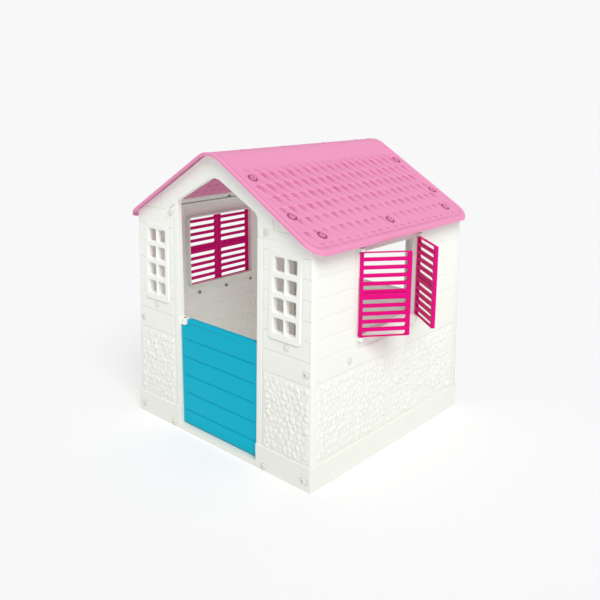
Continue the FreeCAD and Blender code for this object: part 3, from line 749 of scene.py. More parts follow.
def courses(u: Array, v: Array, shift: float, level_deep: float = 1.7, joint_deep: float = 1.4) -> Array:
    """Height of the joints between moulded bricks.

    Level grooves stand at every course from the band up, and upright ones half a brick apart in turn.

    Args:
        u: Along places.
        v: Heights above the floor.
        shift: Place of an upright joint of the first course.
        level_deep: Depth of the level grooves.
        joint_deep: Depth of the upright ones.

    Returns:
        The height at each place, 0 or less.
    """
    level = (v - BAND_Z[1]) / COURSE
    row = np.floor(level)
    to_level = (level - np.round(level)) * COURSE
    along = (u - shift - (row % 2) * BRICK / 2) / BRICK
    to_joint = (along - np.round(along)) * BRICK
    lines = groove(to_level, 2.8, level_deep)
    made = np.where(v < BAND_Z[1], lines, np.minimum(lines, groove(to_joint, 2.6, joint_deep)))
    return np.where((v > BAND_Z[1] - 3) & (v < BRICK_TOP), made, 0.0)


def dust_and_shade_rings(u: Array, v: Array, places: Sequence[tuple[float, float]]) -> Array:
    """Depth, for the finish only, of rings of painted shade and dust round screw heads.

    Args:
        u: Along places.
        v: Up places.
        places: Middles of the heads.

    Returns:
        The depth at each place, 0 or less.
    """
    return np.sum([groove(np.hypot(u - x, v - z) - 11.0, 4.0, 6.0) for x, z in places], axis=0)


# Rows over the plinth's rounded ledge: height outside, how far it stands out, height inside.
PLINTH_ROWS = ((86.0, 16.0, 86.0), (87.3, 15.6, 86.5), (88.0, 14.4, 87.0), (88.2, 8.0, 87.4),
               (88.5, 0.8, 87.8), (89.3, 0.0, 88.6))


def wall_rows(lines: Array) -> tuple[Array, Array, Array]:
    """Rows of a wall with its plinth.

    Args:
        lines: Grid lines above the plinth and below its ledge.

    Returns:
        Each row's height, how far it stands out, and its height on the inner side.
    """
    below, above = lines[lines < LEDGE_Z[0]], lines[lines > LEDGE_Z[1]]
    ledge = np.array(PLINTH_ROWS)
    height = np.concatenate([below, ledge[:, 0], above])
    step = FLARE + ledge[:, 1] * (1 - FLARE / PLINTH_PROUD)
    proud = np.concatenate([np.full(len(below), PLINTH_PROUD), step, lean(above)])
    inner = np.concatenate([below, ledge[:, 2], above])
    return height, proud, inner


# ---- front and back walls --------------------------------------------------------------------------
@dataclass
class FrontPanel:
    """Wall panel beside the doorway: plinth, cobbles, band, bricks and a barred window."""

    name: str
    place: Place
    node: str
    seed: int
    pane_x: tuple[float, float] = (308.35, 363.65)
    pane_size: tuple[float, float] = (45.0, 48.0)
    pane_top: float = 768.6
    pane_rows: int = 4
    frame_box: tuple[float, float, float, float] = (264.0, 408.0, 489.0, 797.0)
    column_x: float = COLUMN_X
    hinge_lug: bool = False
    stop_rib: bool = False

    def panes(self) -> list[tuple[float, float, float, float]]:
        """Low and high x and z of each window opening."""
        wide, tall = self.pane_size
        return [(x - wide / 2, x + wide / 2, self.pane_top - r * COURSE - tall, self.pane_top - r * COURSE)
                for x in self.pane_x for r in range(self.pane_rows)]

    def relief(self, u: Array, v: Array) -> Array:
        """Height of the moulded pattern over the plain wall.

        The jamb's column keeps plain, and bricks and cobbles fill the wall beyond it. The window's frame
        stands up with a groove round it, both weaker towards its top, and a soft hood covers its openings.

        Args:
            u: Along places.
            v: Heights above the floor.

        Returns:
            The height at each place.
        """
        beyond = u > self.column_x
        made = np.where(beyond, courses(u, v, self.column_x + COURSE), 0.0)
        zone = (self.column_x + 4, HALF_WIDTH - 3, 92.0, BAND_Z[0] - 4)
        made += np.where(v > LEDGE_Z[1], cobbles(u, v, zone, self.seed), 0)
        made += np.where(beyond, groove(v - BAND_Z[0], 2.8, 1.7), 0.0)
        made += np.where((v > 89) & (v < COLUMN_TOP), groove(u - self.column_x, 3.0, 2.4), 0.0)
        x0, x1, z0, z1 = self.frame_box
        inside = rect_distance(u, v, x0, x1, z0, z1, 14.0)
        low = 1 - 0.8 * smooth((v - z0 - 150) / 110)
        made = np.where(inside > -3.5, 0.0, made) + groove(inside + 1.5, 3.0, 2.0) * low
        made += 4.2 * smooth(inside / 3.2) * low
        hood = rect_distance(u, v, x0 + 11, x1 - 11, self.pane_top + 8, z1 - 6, 9.0)
        made += 1.6 * smooth(hood / 9.0)
        well = np.max([rect_distance(u, v, *p, PANE_RADIUS) for p in self.panes()], axis=0)
        made -= 1.8 * smooth(1 + well / 3.6)
        return made

    def build(self) -> None:
        """Makes the panel's mesh with its roof flange, and its lug or rib."""
        top = float(under_z(SEAM_X))
        edge = np.array([(HALF_DOORWAY, 0), (HALF_WIDTH, 0), (HALF_WIDTH, top), (SEAM_X, top),
                         (SEAM_X, SEAM_Z), (HALF_DOORWAY, SEAM_Z)])
        panes = self.panes()
        drawn = Outline(edge, [rectangle(*p, PANE_RADIUS) for p in panes])
        x_marks = [*edge_marks(HALF_DOORWAY, 1), *edge_marks(HALF_WIDTH, -1), *edge_marks(SEAM_X, 1),
                   *groove_marks(self.column_x)]
        z_marks = [*edge_marks(0, 1), *edge_marks(SEAM_Z, -1), *edge_marks(top, -1)]
        for x0, x1, z0, z1 in panes:
            x_marks += edge_marks(x0, -1, 3.0) + edge_marks(x1, 1, 3.0)
            z_marks += edge_marks(z0, -1, 3.0) + edge_marks(z1, 1, 3.0)
        x_marks += [p + o for p in (self.frame_box[0], self.frame_box[1]) for o in (-3, -1.5, 0, 1.5, 3.2)]
        z_marks += [p + o for p in (self.frame_box[2], self.frame_box[3]) for o in (-3, -1.5, 0, 1.5, 3.2)]
        for k in range(-1, 8):
            z_marks += groove_marks(BAND_Z[1] + k * COURSE if k >= 0 else BAND_Z[0], 2.8)
        lines_u = grid_lines(HALF_DOORWAY, HALF_WIDTH, 3.4, x_marks)
        height, proud, inner_z = wall_rows(grid_lines(0, top, 3.4, z_marks))
        u, v, keep = cut_grid(lines_u, height, drawn, 4.0)
        squeeze = (under_z(u) - SEAM_Z) / (top - SEAM_Z)
        v = np.where((v > SEAM_Z) & (u >= SEAM_X - 0.1), SEAM_Z + (v - SEAM_Z) * squeeze, v)
        sloped = drawn.edge.copy()
        sloped[2, 1] = float(under_z(HALF_WIDTH))
        gap = edge_gap(u, v, Outline(sloped, drawn.holes))
        relief = self.relief(u, v) * smooth(gap / 2.0)
        wide = u + proud * np.clip((u - (HALF_WIDTH - 18)) / 18, 0, 1)
        outer = np.stack([wide, proud + relief - edge_drop(gap, 1.5), v], -1)
        to_panes = [rect_distance(u, v, *p, PANE_RADIUS) for p in panes]
        rim = np.where(np.minimum.reduce([np.abs(d) for d in to_panes]) < 3.2, 3.2, RIM + 0.2)
        edge_back = np.where(np.max(to_panes, axis=0) > -3.3, -PANE_DEPTH, -WALL_DEPTH)
        back = np.where(gap < rim, edge_back, proud + relief * 0.9 - SKIN)
        inner = np.stack([wide, back, np.where(v < LEDGE_Z[1], inner_z, v)], -1)
        made = Moulding()
        # Rings of painted shade and dust round the screw heads, in the finish only.
        ring_dust_and_shade = dust_and_shade_rings(u, v, (HIGH_CORNER_SCREW, WALL_PLUG, LOW_CORNER_SCREW, SILL_SCREW))
        add_shell(made, keep, outer, inner, relief + ring_dust_and_shade)
        end = float(under_z(FLANGE_END_X))
        flange = np.array([(SEAM_X, top - FLANGE_UPRIGHT), (FLANGE_END_X, end - FLANGE_UPRIGHT),
                           (FLANGE_END_X, end - FLANGE_GAP), (SEAM_X, top - FLANGE_GAP)])
        made.slab(flange, -FLANGE_WIDTH, -WALL_DEPTH + 0.5, "xzy", 0.6)
        if self.hinge_lug:
            lug = rounded([(212.0, -21.5, 0), (212.0, -0.8, 0), (180.0, -0.8, 9.0), (180.0, -21.5, 9.0)])
            made.slab(lug, 423.0, 449.0, "xyz", 1.2)
        if self.stop_rib:
            made.slab(rectangle(200.0, 212.0, -29.0, -23.0, 2.0), 30.0, 443.0, "xyz", 1.0)
        made.build(self.name, "house", Finish.WALL, self.place, [self.node])


@dataclass
class Gable:
    """Gable piece over the doorway, drawn between the doorway's edge and the roof's underside."""

    name: str
    place: Place
    node: str
    apex_z: float = 1003.0
    slope: float = 0.52
    apex_radius: float = 70.0
    corner_radius: float = 30.0
    steps: tuple[int, int, int] = (34, 120, 40)

    def half_path(self, corners: Sequence[tuple[float, float, float]]) -> Array:
        """Right half of a path that is the same on both sides, from its foot to its top.

        Args:
            corners: Foot, shoulder and top with their radii.

        Returns:
            Points spread evenly over the foot's length and over the slope's.
        """
        foot, shoulder, top = corners
        arc, to_top = 25, 13
        far_side = [(-shoulder[0], shoulder[1], shoulder[2]), (-foot[0], foot[1], 0)]
        whole = rounded([foot, shoulder, top, *far_side], arc)
        half = whole[:(1 + arc if shoulder[2] > 0 else 2) + to_top]
        length = np.concatenate([[0], np.cumsum(np.hypot(*np.diff(half, axis=0).T))])
        split = math.hypot(shoulder[0] - foot[0], shoulder[1] - foot[1])
        share = np.concatenate([np.linspace(0, split, self.steps[0], endpoint=False),
                                np.linspace(split, length[-1], self.steps[1])])
        return np.stack([np.interp(share, length, half[:, k]) for k in (0, 1)], -1)

    def build(self) -> None:
        """Makes the gable's mesh.

        Straight lines run from the doorway's edge to the roof line, cut into even steps.
        """
        shoulder = self.apex_z - self.slope * HALF_DOORWAY
        arch = self.half_path([(HALF_DOORWAY, SEAM_Z, 0), (HALF_DOORWAY, shoulder, self.corner_radius),
                               (0, self.apex_z, self.apex_radius)])
        roof = self.half_path([(SEAM_X, SEAM_Z, 0), (SEAM_X, float(under_z(SEAM_X)), 0),
                               (0, UNDER_LINE_Z, RIDGE_RADIUS - SKIN)])
        arch, roof = (np.concatenate([p, (p[:-1] * (-1, 1))[::-1]]) for p in (arch, roof))
        across = grid_lines(0, 1, 1 / self.steps[2], [0.006, 0.018, 0.045, 0.055, 0.945, 0.955, 0.982, 0.994])
        share = across[None, :, None]
        points = arch[:, None] * (1 - share) + roof[:, None] * share
        u, v = points[..., 0], points[..., 1]
        gap = edge_gap(u, v, Outline(np.concatenate([roof, arch[::-1]])))
        arch_gap = edge_gap(u, v, Outline(arch))
        roof_gap = np.abs(roof_height(np.abs(u)) - v) * math.cos(ROOF_ANGLE)
        bricks = courses(np.abs(u), v, COLUMN_X + COURSE)
        bricks = bricks * smooth((arch_gap - 60) / 8) * smooth((roof_gap - 14) / 6)
        column = np.where(v < COLUMN_TOP, groove(np.abs(u) - COLUMN_X, 3.0, 2.4), 0.0)
        slots = np.minimum(groove(segment_distance(u, v, (278, 890), (287, 859)), 3.4, 3.0),
                           groove(segment_distance(u, v, (-255, 859), (-225, 877)), 3.4, 3.0))
        relief = (bricks + column + slots + 1.6 * smooth(1 - np.abs(roof_gap - 9) / 7)) * smooth(gap / 2.0)
        outer = np.stack([u, relief - edge_drop(gap, 2.2), v], -1)
        inner = np.stack([u, np.where(gap < RIM + 0.2, -WALL_DEPTH, relief - SKIN), v], -1)
        made = Moulding()
        keep = np.ones((u.shape[0] - 1, u.shape[1] - 1), bool)
        # Rings of painted shade and dust round the screw heads, in the finish only.
        marked = relief + dust_and_shade_rings(np.abs(u), v, (GABLE_SCREW,))
        add_shell(made, keep[:, ::-1], outer[:, ::-1], inner[:, ::-1], marked[:, ::-1])
        low = roof[self.steps[0]:len(roof) - self.steps[0]]
        band = np.concatenate([low - (0, FLANGE_UPRIGHT), (low - (0, FLANGE_GAP))[::-1]])
        made.slab(band[::-1], -FLANGE_WIDTH, -WALL_DEPTH + 0.5, "xzy", 0.6)
        made.build(self.name, "house", Finish.WALL, self.place, [self.node])


def roof_height(x: Array) -> Array:
    """Roof's outer line at a distance x from the middle: an arc at the ridge, then a straight slope."""
    centre = ROOF_LINE_Z - RIDGE_RADIUS / math.cos(ROOF_ANGLE)
    arc = centre + np.sqrt(np.maximum(RIDGE_RADIUS ** 2 - x ** 2, 0))
    return np.where(x < RIDGE_RADIUS * math.sin(ROOF_ANGLE), arc, ROOF_LINE_Z - ROOF_SLOPE * x)


def segment_distance(u: Array, v: Array, start: tuple[float, float], end: tuple[float, float]) -> Array:
    """Distance of places to a straight line between two points.

    Args:
        u: Along places.
        v: Up places.
        start: One end of the line.
        end: The other end.

    Returns:
        The distance at each place.
    """
    (x0, z0), (x1, z1) = start, end
    share = np.clip(((u - x0) * (x1 - x0) + (v - z0) * (z1 - z0)) / ((x1 - x0) ** 2 + (z1 - z0) ** 2), 0, 1)
    return np.hypot(u - x0 - share * (x1 - x0), v - z0 - share * (z1 - z0))


# ---- side walls ------------------------------------------------------------------------------------
@dataclass
class SideWall:
    """Side wall between the front and back panels, with its window and the shutters' hinge lugs."""

    name: str
    place: Place
    node: str
    seed: int
    window: tuple[float, float, float, float] = (237.0, 587.0, 478.0, 766.0)
    window_radius: float = 8.0
    frame_box: tuple[float, float, float, float] = (226.0, 598.0, 434.0, 900.0)
    frame_proud: float = 3.0
    lug_y: tuple[float, float] = HINGE_Y
    lug_z: tuple[float, float] = (460.0, 772.0)

    def relief(self, u: Array, v: Array) -> Array:
        """Height of the moulded pattern over the plain wall: cobbles, band, bricks and the window's frame.

        Args:
            u: Along places.
            v: Heights above the floor.

        Returns:
            The height at each place.
        """
        made = courses(u, v, 110.0, 0.7, 0.3) + groove(v - BAND_Z[0], 2.8, 1.4)
        made += cobbles(u, v, (WALL_DEPTH + 3, HOUSE_DEPTH - WALL_DEPTH - 3, 92.0, BAND_Z[0] - 4), self.seed)
        inside = rect_distance(u, v, *self.frame_box, 20.0)
        made = np.where(inside > -3.5, 0.0, made) + groove(inside + 1.5, 3.0, 2.6)
        made += self.frame_proud * smooth(inside / 3.0)
        return made

    def build(self) -> None:
        """Makes the wall's mesh with its roof flange and lugs."""
        y0, y1 = WALL_DEPTH, HOUSE_DEPTH - WALL_DEPTH
        top = float(under_z(HALF_WIDTH))
        outline = Outline(rectangle(y0, y1, 0, top), [rectangle(*self.window, self.window_radius)])
        w0, w1, w2, w3 = self.window
        u_marks = [*edge_marks(y0, 1), *edge_marks(y1, -1), *edge_marks(w0, -1), *edge_marks(w1, 1)]
        u_marks += [w0 + 3, w0 + 6, w1 - 3, w1 - 6]
        v_marks = [*edge_marks(0, 1), *edge_marks(top, -1), *edge_marks(w2, -1), *edge_marks(w3, 1)]
        v_marks += [w2 + 3, w2 + 6, w3 - 3, w3 - 6]
        f0, f1, f2, _ = self.frame_box
        u_marks += [p + o for p in (f0, f1) for o in (-3, -1.5, 0, 1.5, 3)]
        v_marks += [f2 + o for o in (-3, -1.5, 0, 1.5, 3)]
        for k in range(13):
            u_marks += groove_marks(42.0 + k * COURSE, 2.6)
        for k in range(-1, 6):
            v_marks += groove_marks(BAND_Z[1] + k * COURSE if k >= 0 else BAND_Z[0], 2.8)
        fine = grid_lines(PLINTH_HEIGHT, BAND_Z[0], 4.2)
        lines_u = grid_lines(y0, y1, 4.4, u_marks)
        height, proud, inner_z = wall_rows(grid_lines(0, top, 9.0, [*v_marks, *fine]))
        u, v, keep = cut_grid(lines_u, height, outline, 5.0)
        gap = edge_gap(u, v, outline)
        relief = self.relief(u, v) * smooth(gap / 2.0)
        # The window's frame stays upright where the wall round it leans out.
        stand = proud * (1 - smooth(rect_distance(u, v, *self.frame_box, 20.0) / 3.0))
        outer = np.stack([u, stand + relief - edge_drop(gap, 1.5), v], -1)
        inner = np.stack([u, np.where(gap < RIM + 0.2, -WALL_DEPTH, stand + relief * 0.9 - SKIN),
                          np.where(v < LEDGE_Z[1], inner_z, v)], -1)
        made = Moulding()
        # Rings of painted shade and dust round the screw heads, in the finish only.
        ring_dust_and_shade = dust_and_shade_rings(u, v, [(y, SIDE_PLUG_Z) for y in SIDE_PLUG_Y])
        add_shell(made, keep, outer, inner, relief + ring_dust_and_shade)
        flange = np.array([(-FLANGE_WIDTH, top + 28.5 - FLANGE_UPRIGHT), (-4.5, top + 2.4 - FLANGE_UPRIGHT),
                           (-4.5, top + 2.4), (-FLANGE_WIDTH, top + 28.5)])
        made.slab(flange, y0, y1, "yzx", 0.6)
        for y in self.lug_y:
            for z in self.lug_z:
                nose = rounded([(y - 10, -0.5, 0), (y + 10, -0.5, 0), (y + 10, 21.0, 9.8),
                                (y - 10, 21.0, 9.8)])
                made.slab(nose, z, z + 12.0, "xyz", 1.0)
        made.build(self.name, "house", Finish.WALL, self.place, [self.node])


# ---- roof ------------------------------------------------------------------------------------------
@dataclass
class RoofHalf:
    """One half of the tiled roof."""

    name: str
    place: Place
    node: str
    half_width: float = 488.0
    ends: tuple[float, float] = (-28.0, 902.0)
    corner: float = 60.0
    rim_depth: float = 11.0
    first_row: float = 138.0
    row_pitch: float = 51.7
    tile: float = 43.3
    first_tile: float = 31.0
    bolts: tuple[tuple[float, float], ...] = ((157, 33), (334, 33), (157, 859), (334, 859), (423, 77),
                                              (423, 446), (423, 815))

    def relief(self, x: Array, y: Array) -> Array:
        """Height of the tiles, the bead round the edge and the seats of the bolts.

        Each row starts under a thin raised lip that waves with the tiles. A three-cornered hollow lies just
        under it at the front of each tile and runs out down the slope, and the ribs beside it lean back
        towards the eave. Rows stand half a tile apart in turn. All of it grows weaker towards the eave, and
        only the ribs reach above the first row. The finish darkens the tile hollows and the bolts' 12 deep
        seats with painted shade, and near the flanges it keeps them deeper than the mesh does.

        Args:
            x: Distance from the ridge.
            y: Place along the ridge.

        Returns:
            The height at each place.
        """
        row = (x - self.first_row) / self.row_pitch
        down = row - np.floor(row)
        across = (y - self.first_tile) / self.tile + 0.5 * np.floor(row) - 0.30 * (down - 0.1)
        across = across - np.floor(across)
        wave = 0.05 * np.sin(2 * np.pi * across)
        strength = np.interp(row, [-1.0, -0.35, 0, 2, 3, 4, 5, 6, 6.9],
                             [0, 0.85, 1.0, 0.9, 0.68, 0.48, 0.34, 0.24, 0])
        side = smooth((y - self.ends[0] - 34) / 10) * smooth((self.ends[1] - 34 - y) / 10)
        lip = 2.6 * smooth(1 - np.abs((row + wave) - np.round(row)) * self.row_pitch / 3.6) * (row > -0.12)
        fall = np.where(row >= 0, np.clip((down - 0.03) / 0.04, 0, 1) * np.clip(1 - down, 0, 1) ** 2.1, 0.0)
        width = 0.74 - 0.50 * down
        wedge = -9.0 * fall * smooth((across - 0.05) / 0.07) * smooth((0.05 + width - across) / (0.8 * width))
        rib = 2.3 * smooth(1 - np.minimum(across, 1 - across) * self.tile / 8.0) - 0.9
        made = strength * side * (lip + wedge + rib * np.where(row >= 0, 0.75, smooth(1 + row)))
        edge = rect_distance(x, y, -self.half_width, self.half_width, *self.ends, self.corner)
        made += 2.2 * smooth(1 - np.abs(edge - 7) / 9) + groove(edge - 20, 4.5, 1.3)
        made += 1.2 * smooth(1 - np.abs(edge - 27) / 4.5)
        for bx, by in self.bolts:
            radius = np.hypot((x - bx) / math.cos(ROOF_ANGLE), y - by)
            # Each bolt sits in a 12 deep seat groove that the finish paints as a dark ring of shade.
            made = made * smooth((radius - 18) / 6) + groove(radius - 14.8, 4.8, 12.0)
        return made * smooth((x - 30) / 30 + (edge < 24))

    def build(self) -> None:
        """Makes the half's mesh, its outer and under sheets joined round the rim."""
        y0, y1 = self.ends
        rim_steps = (0.6, 2.0, RIM, RIM + 1, 9, 14)
        x_marks = [self.half_width - d for d in rim_steps]
        x_marks += [self.first_row + k * self.row_pitch + o for k in range(8)
                    for o in (-4.0, -2.0, 0.0, 2.0, 4.6, 8.0)]
        y_marks = [y0 + d for d in rim_steps] + [y1 - d for d in rim_steps]
        spots = (-20, -17.5, -15.5, -13.5, -11, 11, 13.5, 15.5, 17.5, 20)
        x_marks += [b[0] + o * math.cos(ROOF_ANGLE) for b in self.bolts for o in spots]
        y_marks += [b[1] + o for b in self.bolts for o in spots]
        lines_x = grid_lines(0, self.half_width, 4.6, x_marks)
        lines_y = grid_lines(y0, y1, 4.6, y_marks)
        x, y = np.meshgrid(lines_x, lines_y, indexing="ij")
        x, y = self.round_corners(x, y)
        marked = self.relief(x, y)
        edge = rect_distance(x, y, -self.half_width, self.half_width, y0, y1, self.corner)
        clear = smooth((y - 52) / 14) * smooth((HOUSE_DEPTH - 52 - y) / 14) * smooth((396 - x) / 14)
        # Over the walls' flanges the hollows stay shallow in the mesh, so that no flange shows through; the
        # finish keeps their full depth and paints it as shade.
        relief = np.maximum(marked, -2.7 - 7.0 * clear)
        angle = np.where(x < RIDGE_RADIUS * math.sin(ROOF_ANGLE), np.arcsin(np.minimum(x / RIDGE_RADIUS, 1)),
                         ROOF_ANGLE)
        lift = relief - edge_drop(edge, 3.0)
        outer = np.stack([x + np.sin(angle) * relief * smooth(edge / 3), y,
                          roof_height(x) + np.cos(angle) * lift], -1)
        rim = edge < RIM + 0.3
        under = np.where(rim, roof_height(x) - self.rim_depth,
                         roof_height(x) - SKIN / np.cos(angle) + relief * 0.9)
        inner = np.stack([x, y, under], -1)
        made = Moulding()
        keep = np.ones((x.shape[0] - 1, x.shape[1] - 1), bool)
        add_shell(made, keep, outer, inner, marked)
        made.build(self.name, "house", Finish.ROOF, self.place, [self.node])

    def round_corners(self, x: Array, y: Array) -> tuple[Array, Array]:
        """Turns the grid's two square outer corners into quarter discs.

        Inside each corner's square, each share of the way to an edge is scaled by the root of 1 less half the
        other share's square, which puts the square's two sides on the quarter circle.

        Args:
            x: Grid places from the ridge.
            y: Grid places along the ridge.

        Returns:
            The moved places.
        """
        for end, side in ((self.ends[0], -1), (self.ends[1], 1)):
            cx, cy = self.half_width - self.corner, end - side * self.corner
            a, b = (x - cx) / self.corner, (y - cy) * side / self.corner
            inside = (a > 0) & (b > 0)
            moved_a = a * np.sqrt(np.maximum(1 - b * b / 2, 0))
            moved_b = b * np.sqrt(np.maximum(1 - a * a / 2, 0))
            x = np.where(inside, cx + moved_a * self.corner, x)
            y = np.where(inside, cy + side * moved_b * self.corner, y)
        return x, y


# ---- door and infill -------------------------------------------------------------------------------
@dataclass
class BoardedLeaf:
    """Door or fixed infill: a skin moulded in boards with a rim behind it."""

    name: str
    body: str
    finish: Finish
    place: Place
    node: str
    corners: tuple[tuple[float, float, float], ...]
    face: float
    grooves: tuple[float, ...]
    groove_span: tuple[float, float]
    rail: tuple[float, float, float, float] | None = None
    solid_left: float | None = None
    plinth: bool = False

    def relief(self, u: Array, v: Array) -> Array:
        """Height of the board grooves and the rounded rail over the plain face.

        Each board bows out a little between its two grooves as half a sine wave.

        Args:
            u: Along places.
            v: Heights above the floor.

        Returns:
            The height at each place.
        """
        made = np.zeros_like(u)
        x0, x1 = self.groove_span
        ends = smooth((u - x0) / 5) * smooth((x1 - u) / 5)
        for z in self.grooves:
            made += groove(v - z, 3.4, 2.2) * ends
        bow = (v - self.grooves[0]) / (self.grooves[1] - self.grooves[0])
        made += 0.5 * np.sin(np.pi * (bow - np.floor(bow))) * ends
        if self.rail:
            inside = rect_distance(u, v, *self.rail, 5.0)
            made += 3.0 * smooth(inside / 4.5)
        return made

    def build(self) -> None:
        """Makes the leaf's mesh."""
        outline = Outline(rounded(self.corners))
        low, high = outline.edge.min(0), outline.edge.max(0)
        u_marks, v_marks = [], []
        for x, z, _ in self.corners:
            u_marks += edge_marks(x, 1) + edge_marks(x, -1)
            v_marks += edge_marks(z, 1) + edge_marks(z, -1)
        for z in self.grooves:
            v_marks += groove_marks(z, 3.4)
        u_marks += [x + o for x in self.groove_span for o in (-5, -2.5, 0, 2.5, 5)]
        if self.rail:
            u_marks += [x + o for x in self.rail[:2] for o in (-4, -2, 0, 2, 4)]
            v_marks += [z + o for z in self.rail[2:] for o in (-3, -1.5, 0, 1.5, 3)]
        u, v, keep = cut_grid(grid_lines(low[0], high[0], 5.0, u_marks),
                              grid_lines(low[1], high[1], 5.0, v_marks), outline, 4.0)
        gap = edge_gap(u, v, outline)
        relief = self.relief(u, v) * smooth(gap / 2.5)
        rim = gap < RIM + 0.2
        if self.solid_left is not None:
            rim = rim | (u < self.solid_left)
        outer = np.stack([u, self.face + relief - edge_drop(gap, 3.0), v], -1)
        inner = np.stack([u, np.where(rim, self.face - WALL_DEPTH + edge_drop(gap, 1.5),
                                      self.face + relief * 0.9 - SKIN), v], -1)
        made = Moulding()
        add_shell(made, keep, outer, inner, relief)
        if self.plinth:
            made.slab(rectangle(low[0] + 0.5, high[0] - 0.5, -1.0, PLINTH_PROUD, 1.5), 0.0, 22.0, "xyz", 1.2)
        made.build(self.name, self.body, self.finish, self.place, [self.node])


# ---- shutters --------------------------------------------------------------------------------------
@dataclass
class Shutter:
    """Louvred shutter, drawn along its hinge axis and turned to the place where it rests."""

    name: str
    body: str
    node: str
    axis: tuple[float, float]
    turn: float
    span: tuple[float, float] = (-7.0, 171.25)
    level: tuple[float, float] = (474.0, 770.0)
    thickness: float = 14.0
    slot_height: float = 16.5
    slot_pitch: float = 28.0
    first_slot: float = 11.5
    stiles: tuple[float, float] = (12.0, 14.0)

    def slots(self) -> list[Array]:
        """Outlines of the ten slots, round at the free stile and squarer at the hinge.

        Returns:
            The outlines, by turns from the top down and from the bottom up.
        """
        x0, x1 = self.span[0] + self.stiles[0], self.span[1] - self.stiles[1]
        half = self.slot_height / 2
        middles = [m for i in range(5) for m in (self.level[1] - self.first_slot - i * self.slot_pitch,
                                                 self.level[0] + self.first_slot + i * self.slot_pitch)]
        return [rounded([(x0, z - half, 2.5), (x1, z - half, 7.4), (x1, z + half, 7.4), (x0, z + half, 2.5)])
                for z in middles]

    def build(self) -> None:
        """Makes the shutter's mesh: a slab with slots, crowned bars and a sunk panel in its middle rail."""
        slots = self.slots()
        outline = Outline(rectangle(*self.span, *self.level, 4.0), slots)
        u_marks = [*edge_marks(self.span[0], 1), *edge_marks(self.span[1], -1)]
        v_marks = [*edge_marks(self.level[0], 1, 2.8), *edge_marks(self.level[1], -1, 2.8)]
        for slot in slots:
            (x0, z0), (x1, z1) = slot.min(0), slot.max(0)
            u_marks += [x0 + o for o in (-1.6, -0.6, 0, 1, 2.5)]
            u_marks += [x1 + o for o in (-7.4, -5, -2.6, -1, 0, 0.6, 1.6)]
            v_marks += [z0 + o for o in (-1.6, -0.6, 0, 1.2, 3.2)]
            v_marks += [z1 + o for o in (-3.2, -1.2, 0, 0.6, 1.6)]
        u, v, keep = cut_grid(grid_lines(*self.span, 5.0, u_marks), grid_lines(*self.level, 3.2, v_marks),
                              outline, 5.5)
        gap = edge_gap(u, v, outline)
        middle = (self.level[0] + self.level[1]) / 2
        panel = rect_distance(u, v, self.span[0] + 15, self.span[1] - 17, middle + 1, middle + 11, 3.5)
        relief = -2.6 * smooth(panel / 2.4) + 0.4 * smooth(gap / 5)
        half = self.thickness / 2
        drop = edge_drop(gap, 1.6)
        outer = np.stack([u, -(half - 0.4 + relief - drop), v], -1)
        inner = np.stack([u, half - 0.4 + relief - drop, v], -1)
        angle = math.radians(self.turn)
        swing = np.array([[math.cos(angle), math.sin(angle), 0], [-math.sin(angle), math.cos(angle), 0],
                          [0, 0, 1]])
        shift = np.array([*self.axis, 0.0])
        made = Moulding()
        add_shell(made, keep, outer @ swing + shift, inner @ swing + shift, relief)
        made.build(self.name, self.body, Finish.SHUTTER, Place.FRAME, [self.node])


# ---- screws and bolts ------------------------------------------------------------------------------
class Recess(Enum):
    """Shape of the driving recess in a head."""

    CROSS = "cross"
    PLAIN = "plain"


@dataclass
class Heads:
    """A group of screw or bolt heads of one kind."""

    name: str
    finish: Finish
    node: str
    places: tuple[Spot, ...]
    radius: float = 9.5
    height: float = 3.5
    recess: Recess = Recess.CROSS
    rings: int = 14
    spokes: int = 40
    sunk: float = 0.8

    def build(self) -> None:
        """Makes the heads' mesh.

        A head is a polar sheet: a low dome that steps down to a flange, less a cross whose arms get narrower
        towards the rim. It is carried so that its own axis lies on each place's direction.
        """
        radii = np.concatenate([[0.0], np.linspace(0.08, 0.9, self.rings), [0.97, 1.0, 1.0]])
        turn = np.linspace(0, 2 * math.pi, self.spokes, endpoint=False)
        r, t = np.meshgrid(radii, turn, indexing="ij")
        dome = self.height * np.sqrt(np.maximum(1 - (0.92 * r) ** 2, 0))
        x, y = r * np.cos(t), r * np.sin(t)
        dent = np.zeros_like(r)
        if self.recess is Recess.CROSS:
            arms = np.minimum(np.abs(x), np.abs(y))
            dent = -self.height * 0.6 * smooth(1.6 - arms / 0.11) * smooth((0.62 - r) / 0.14)
        level = dome + dent - 0.4 * self.height * smooth((r - 0.9) / 0.1)
        level[-1] = -self.sunk
        sheet = np.stack([x * self.radius, y * self.radius, level], -1)
        points = np.concatenate([sheet[:1, 0], sheet[1:].reshape(-1, 3), [[0, 0, -self.sunk]]])
        n, rows = self.spokes, len(radii) - 1
        i, j = np.arange(n), (np.arange(n) + 1) % n
        faces = [(0, 1 + a, 1 + b) for a, b in zip(i, j)]
        for k in range(rows - 1):
            near, far = 1 + k * n, 1 + (k + 1) * n
            faces += np.stack([near + i, far + i, far + j, near + j], -1).tolist()
        last = 1 + (rows - 1) * n
        faces += [(last + b, last + a, len(points) - 1) for a, b in zip(i, j)]
        # The recess's depth goes to the finish, which paints the recess dark with painted shade and dust.
        heights = np.concatenate([dent[:1, 0], dent[1:].ravel(), [0.0]])
        made = Moulding()
        for k, (place, direction) in enumerate(self.places):
            upright = Vector(direction).to_track_quat("Z", "Y").to_matrix()
            turned = upright @ Matrix.Rotation(0.5 + 1.1 * k, 3, "Z")
            made.add(points @ np.array(turned).T + np.array(place), faces, heights)
        made.build(self.name, "house", self.finish, Place.FRAME, [self.node], 50.0)


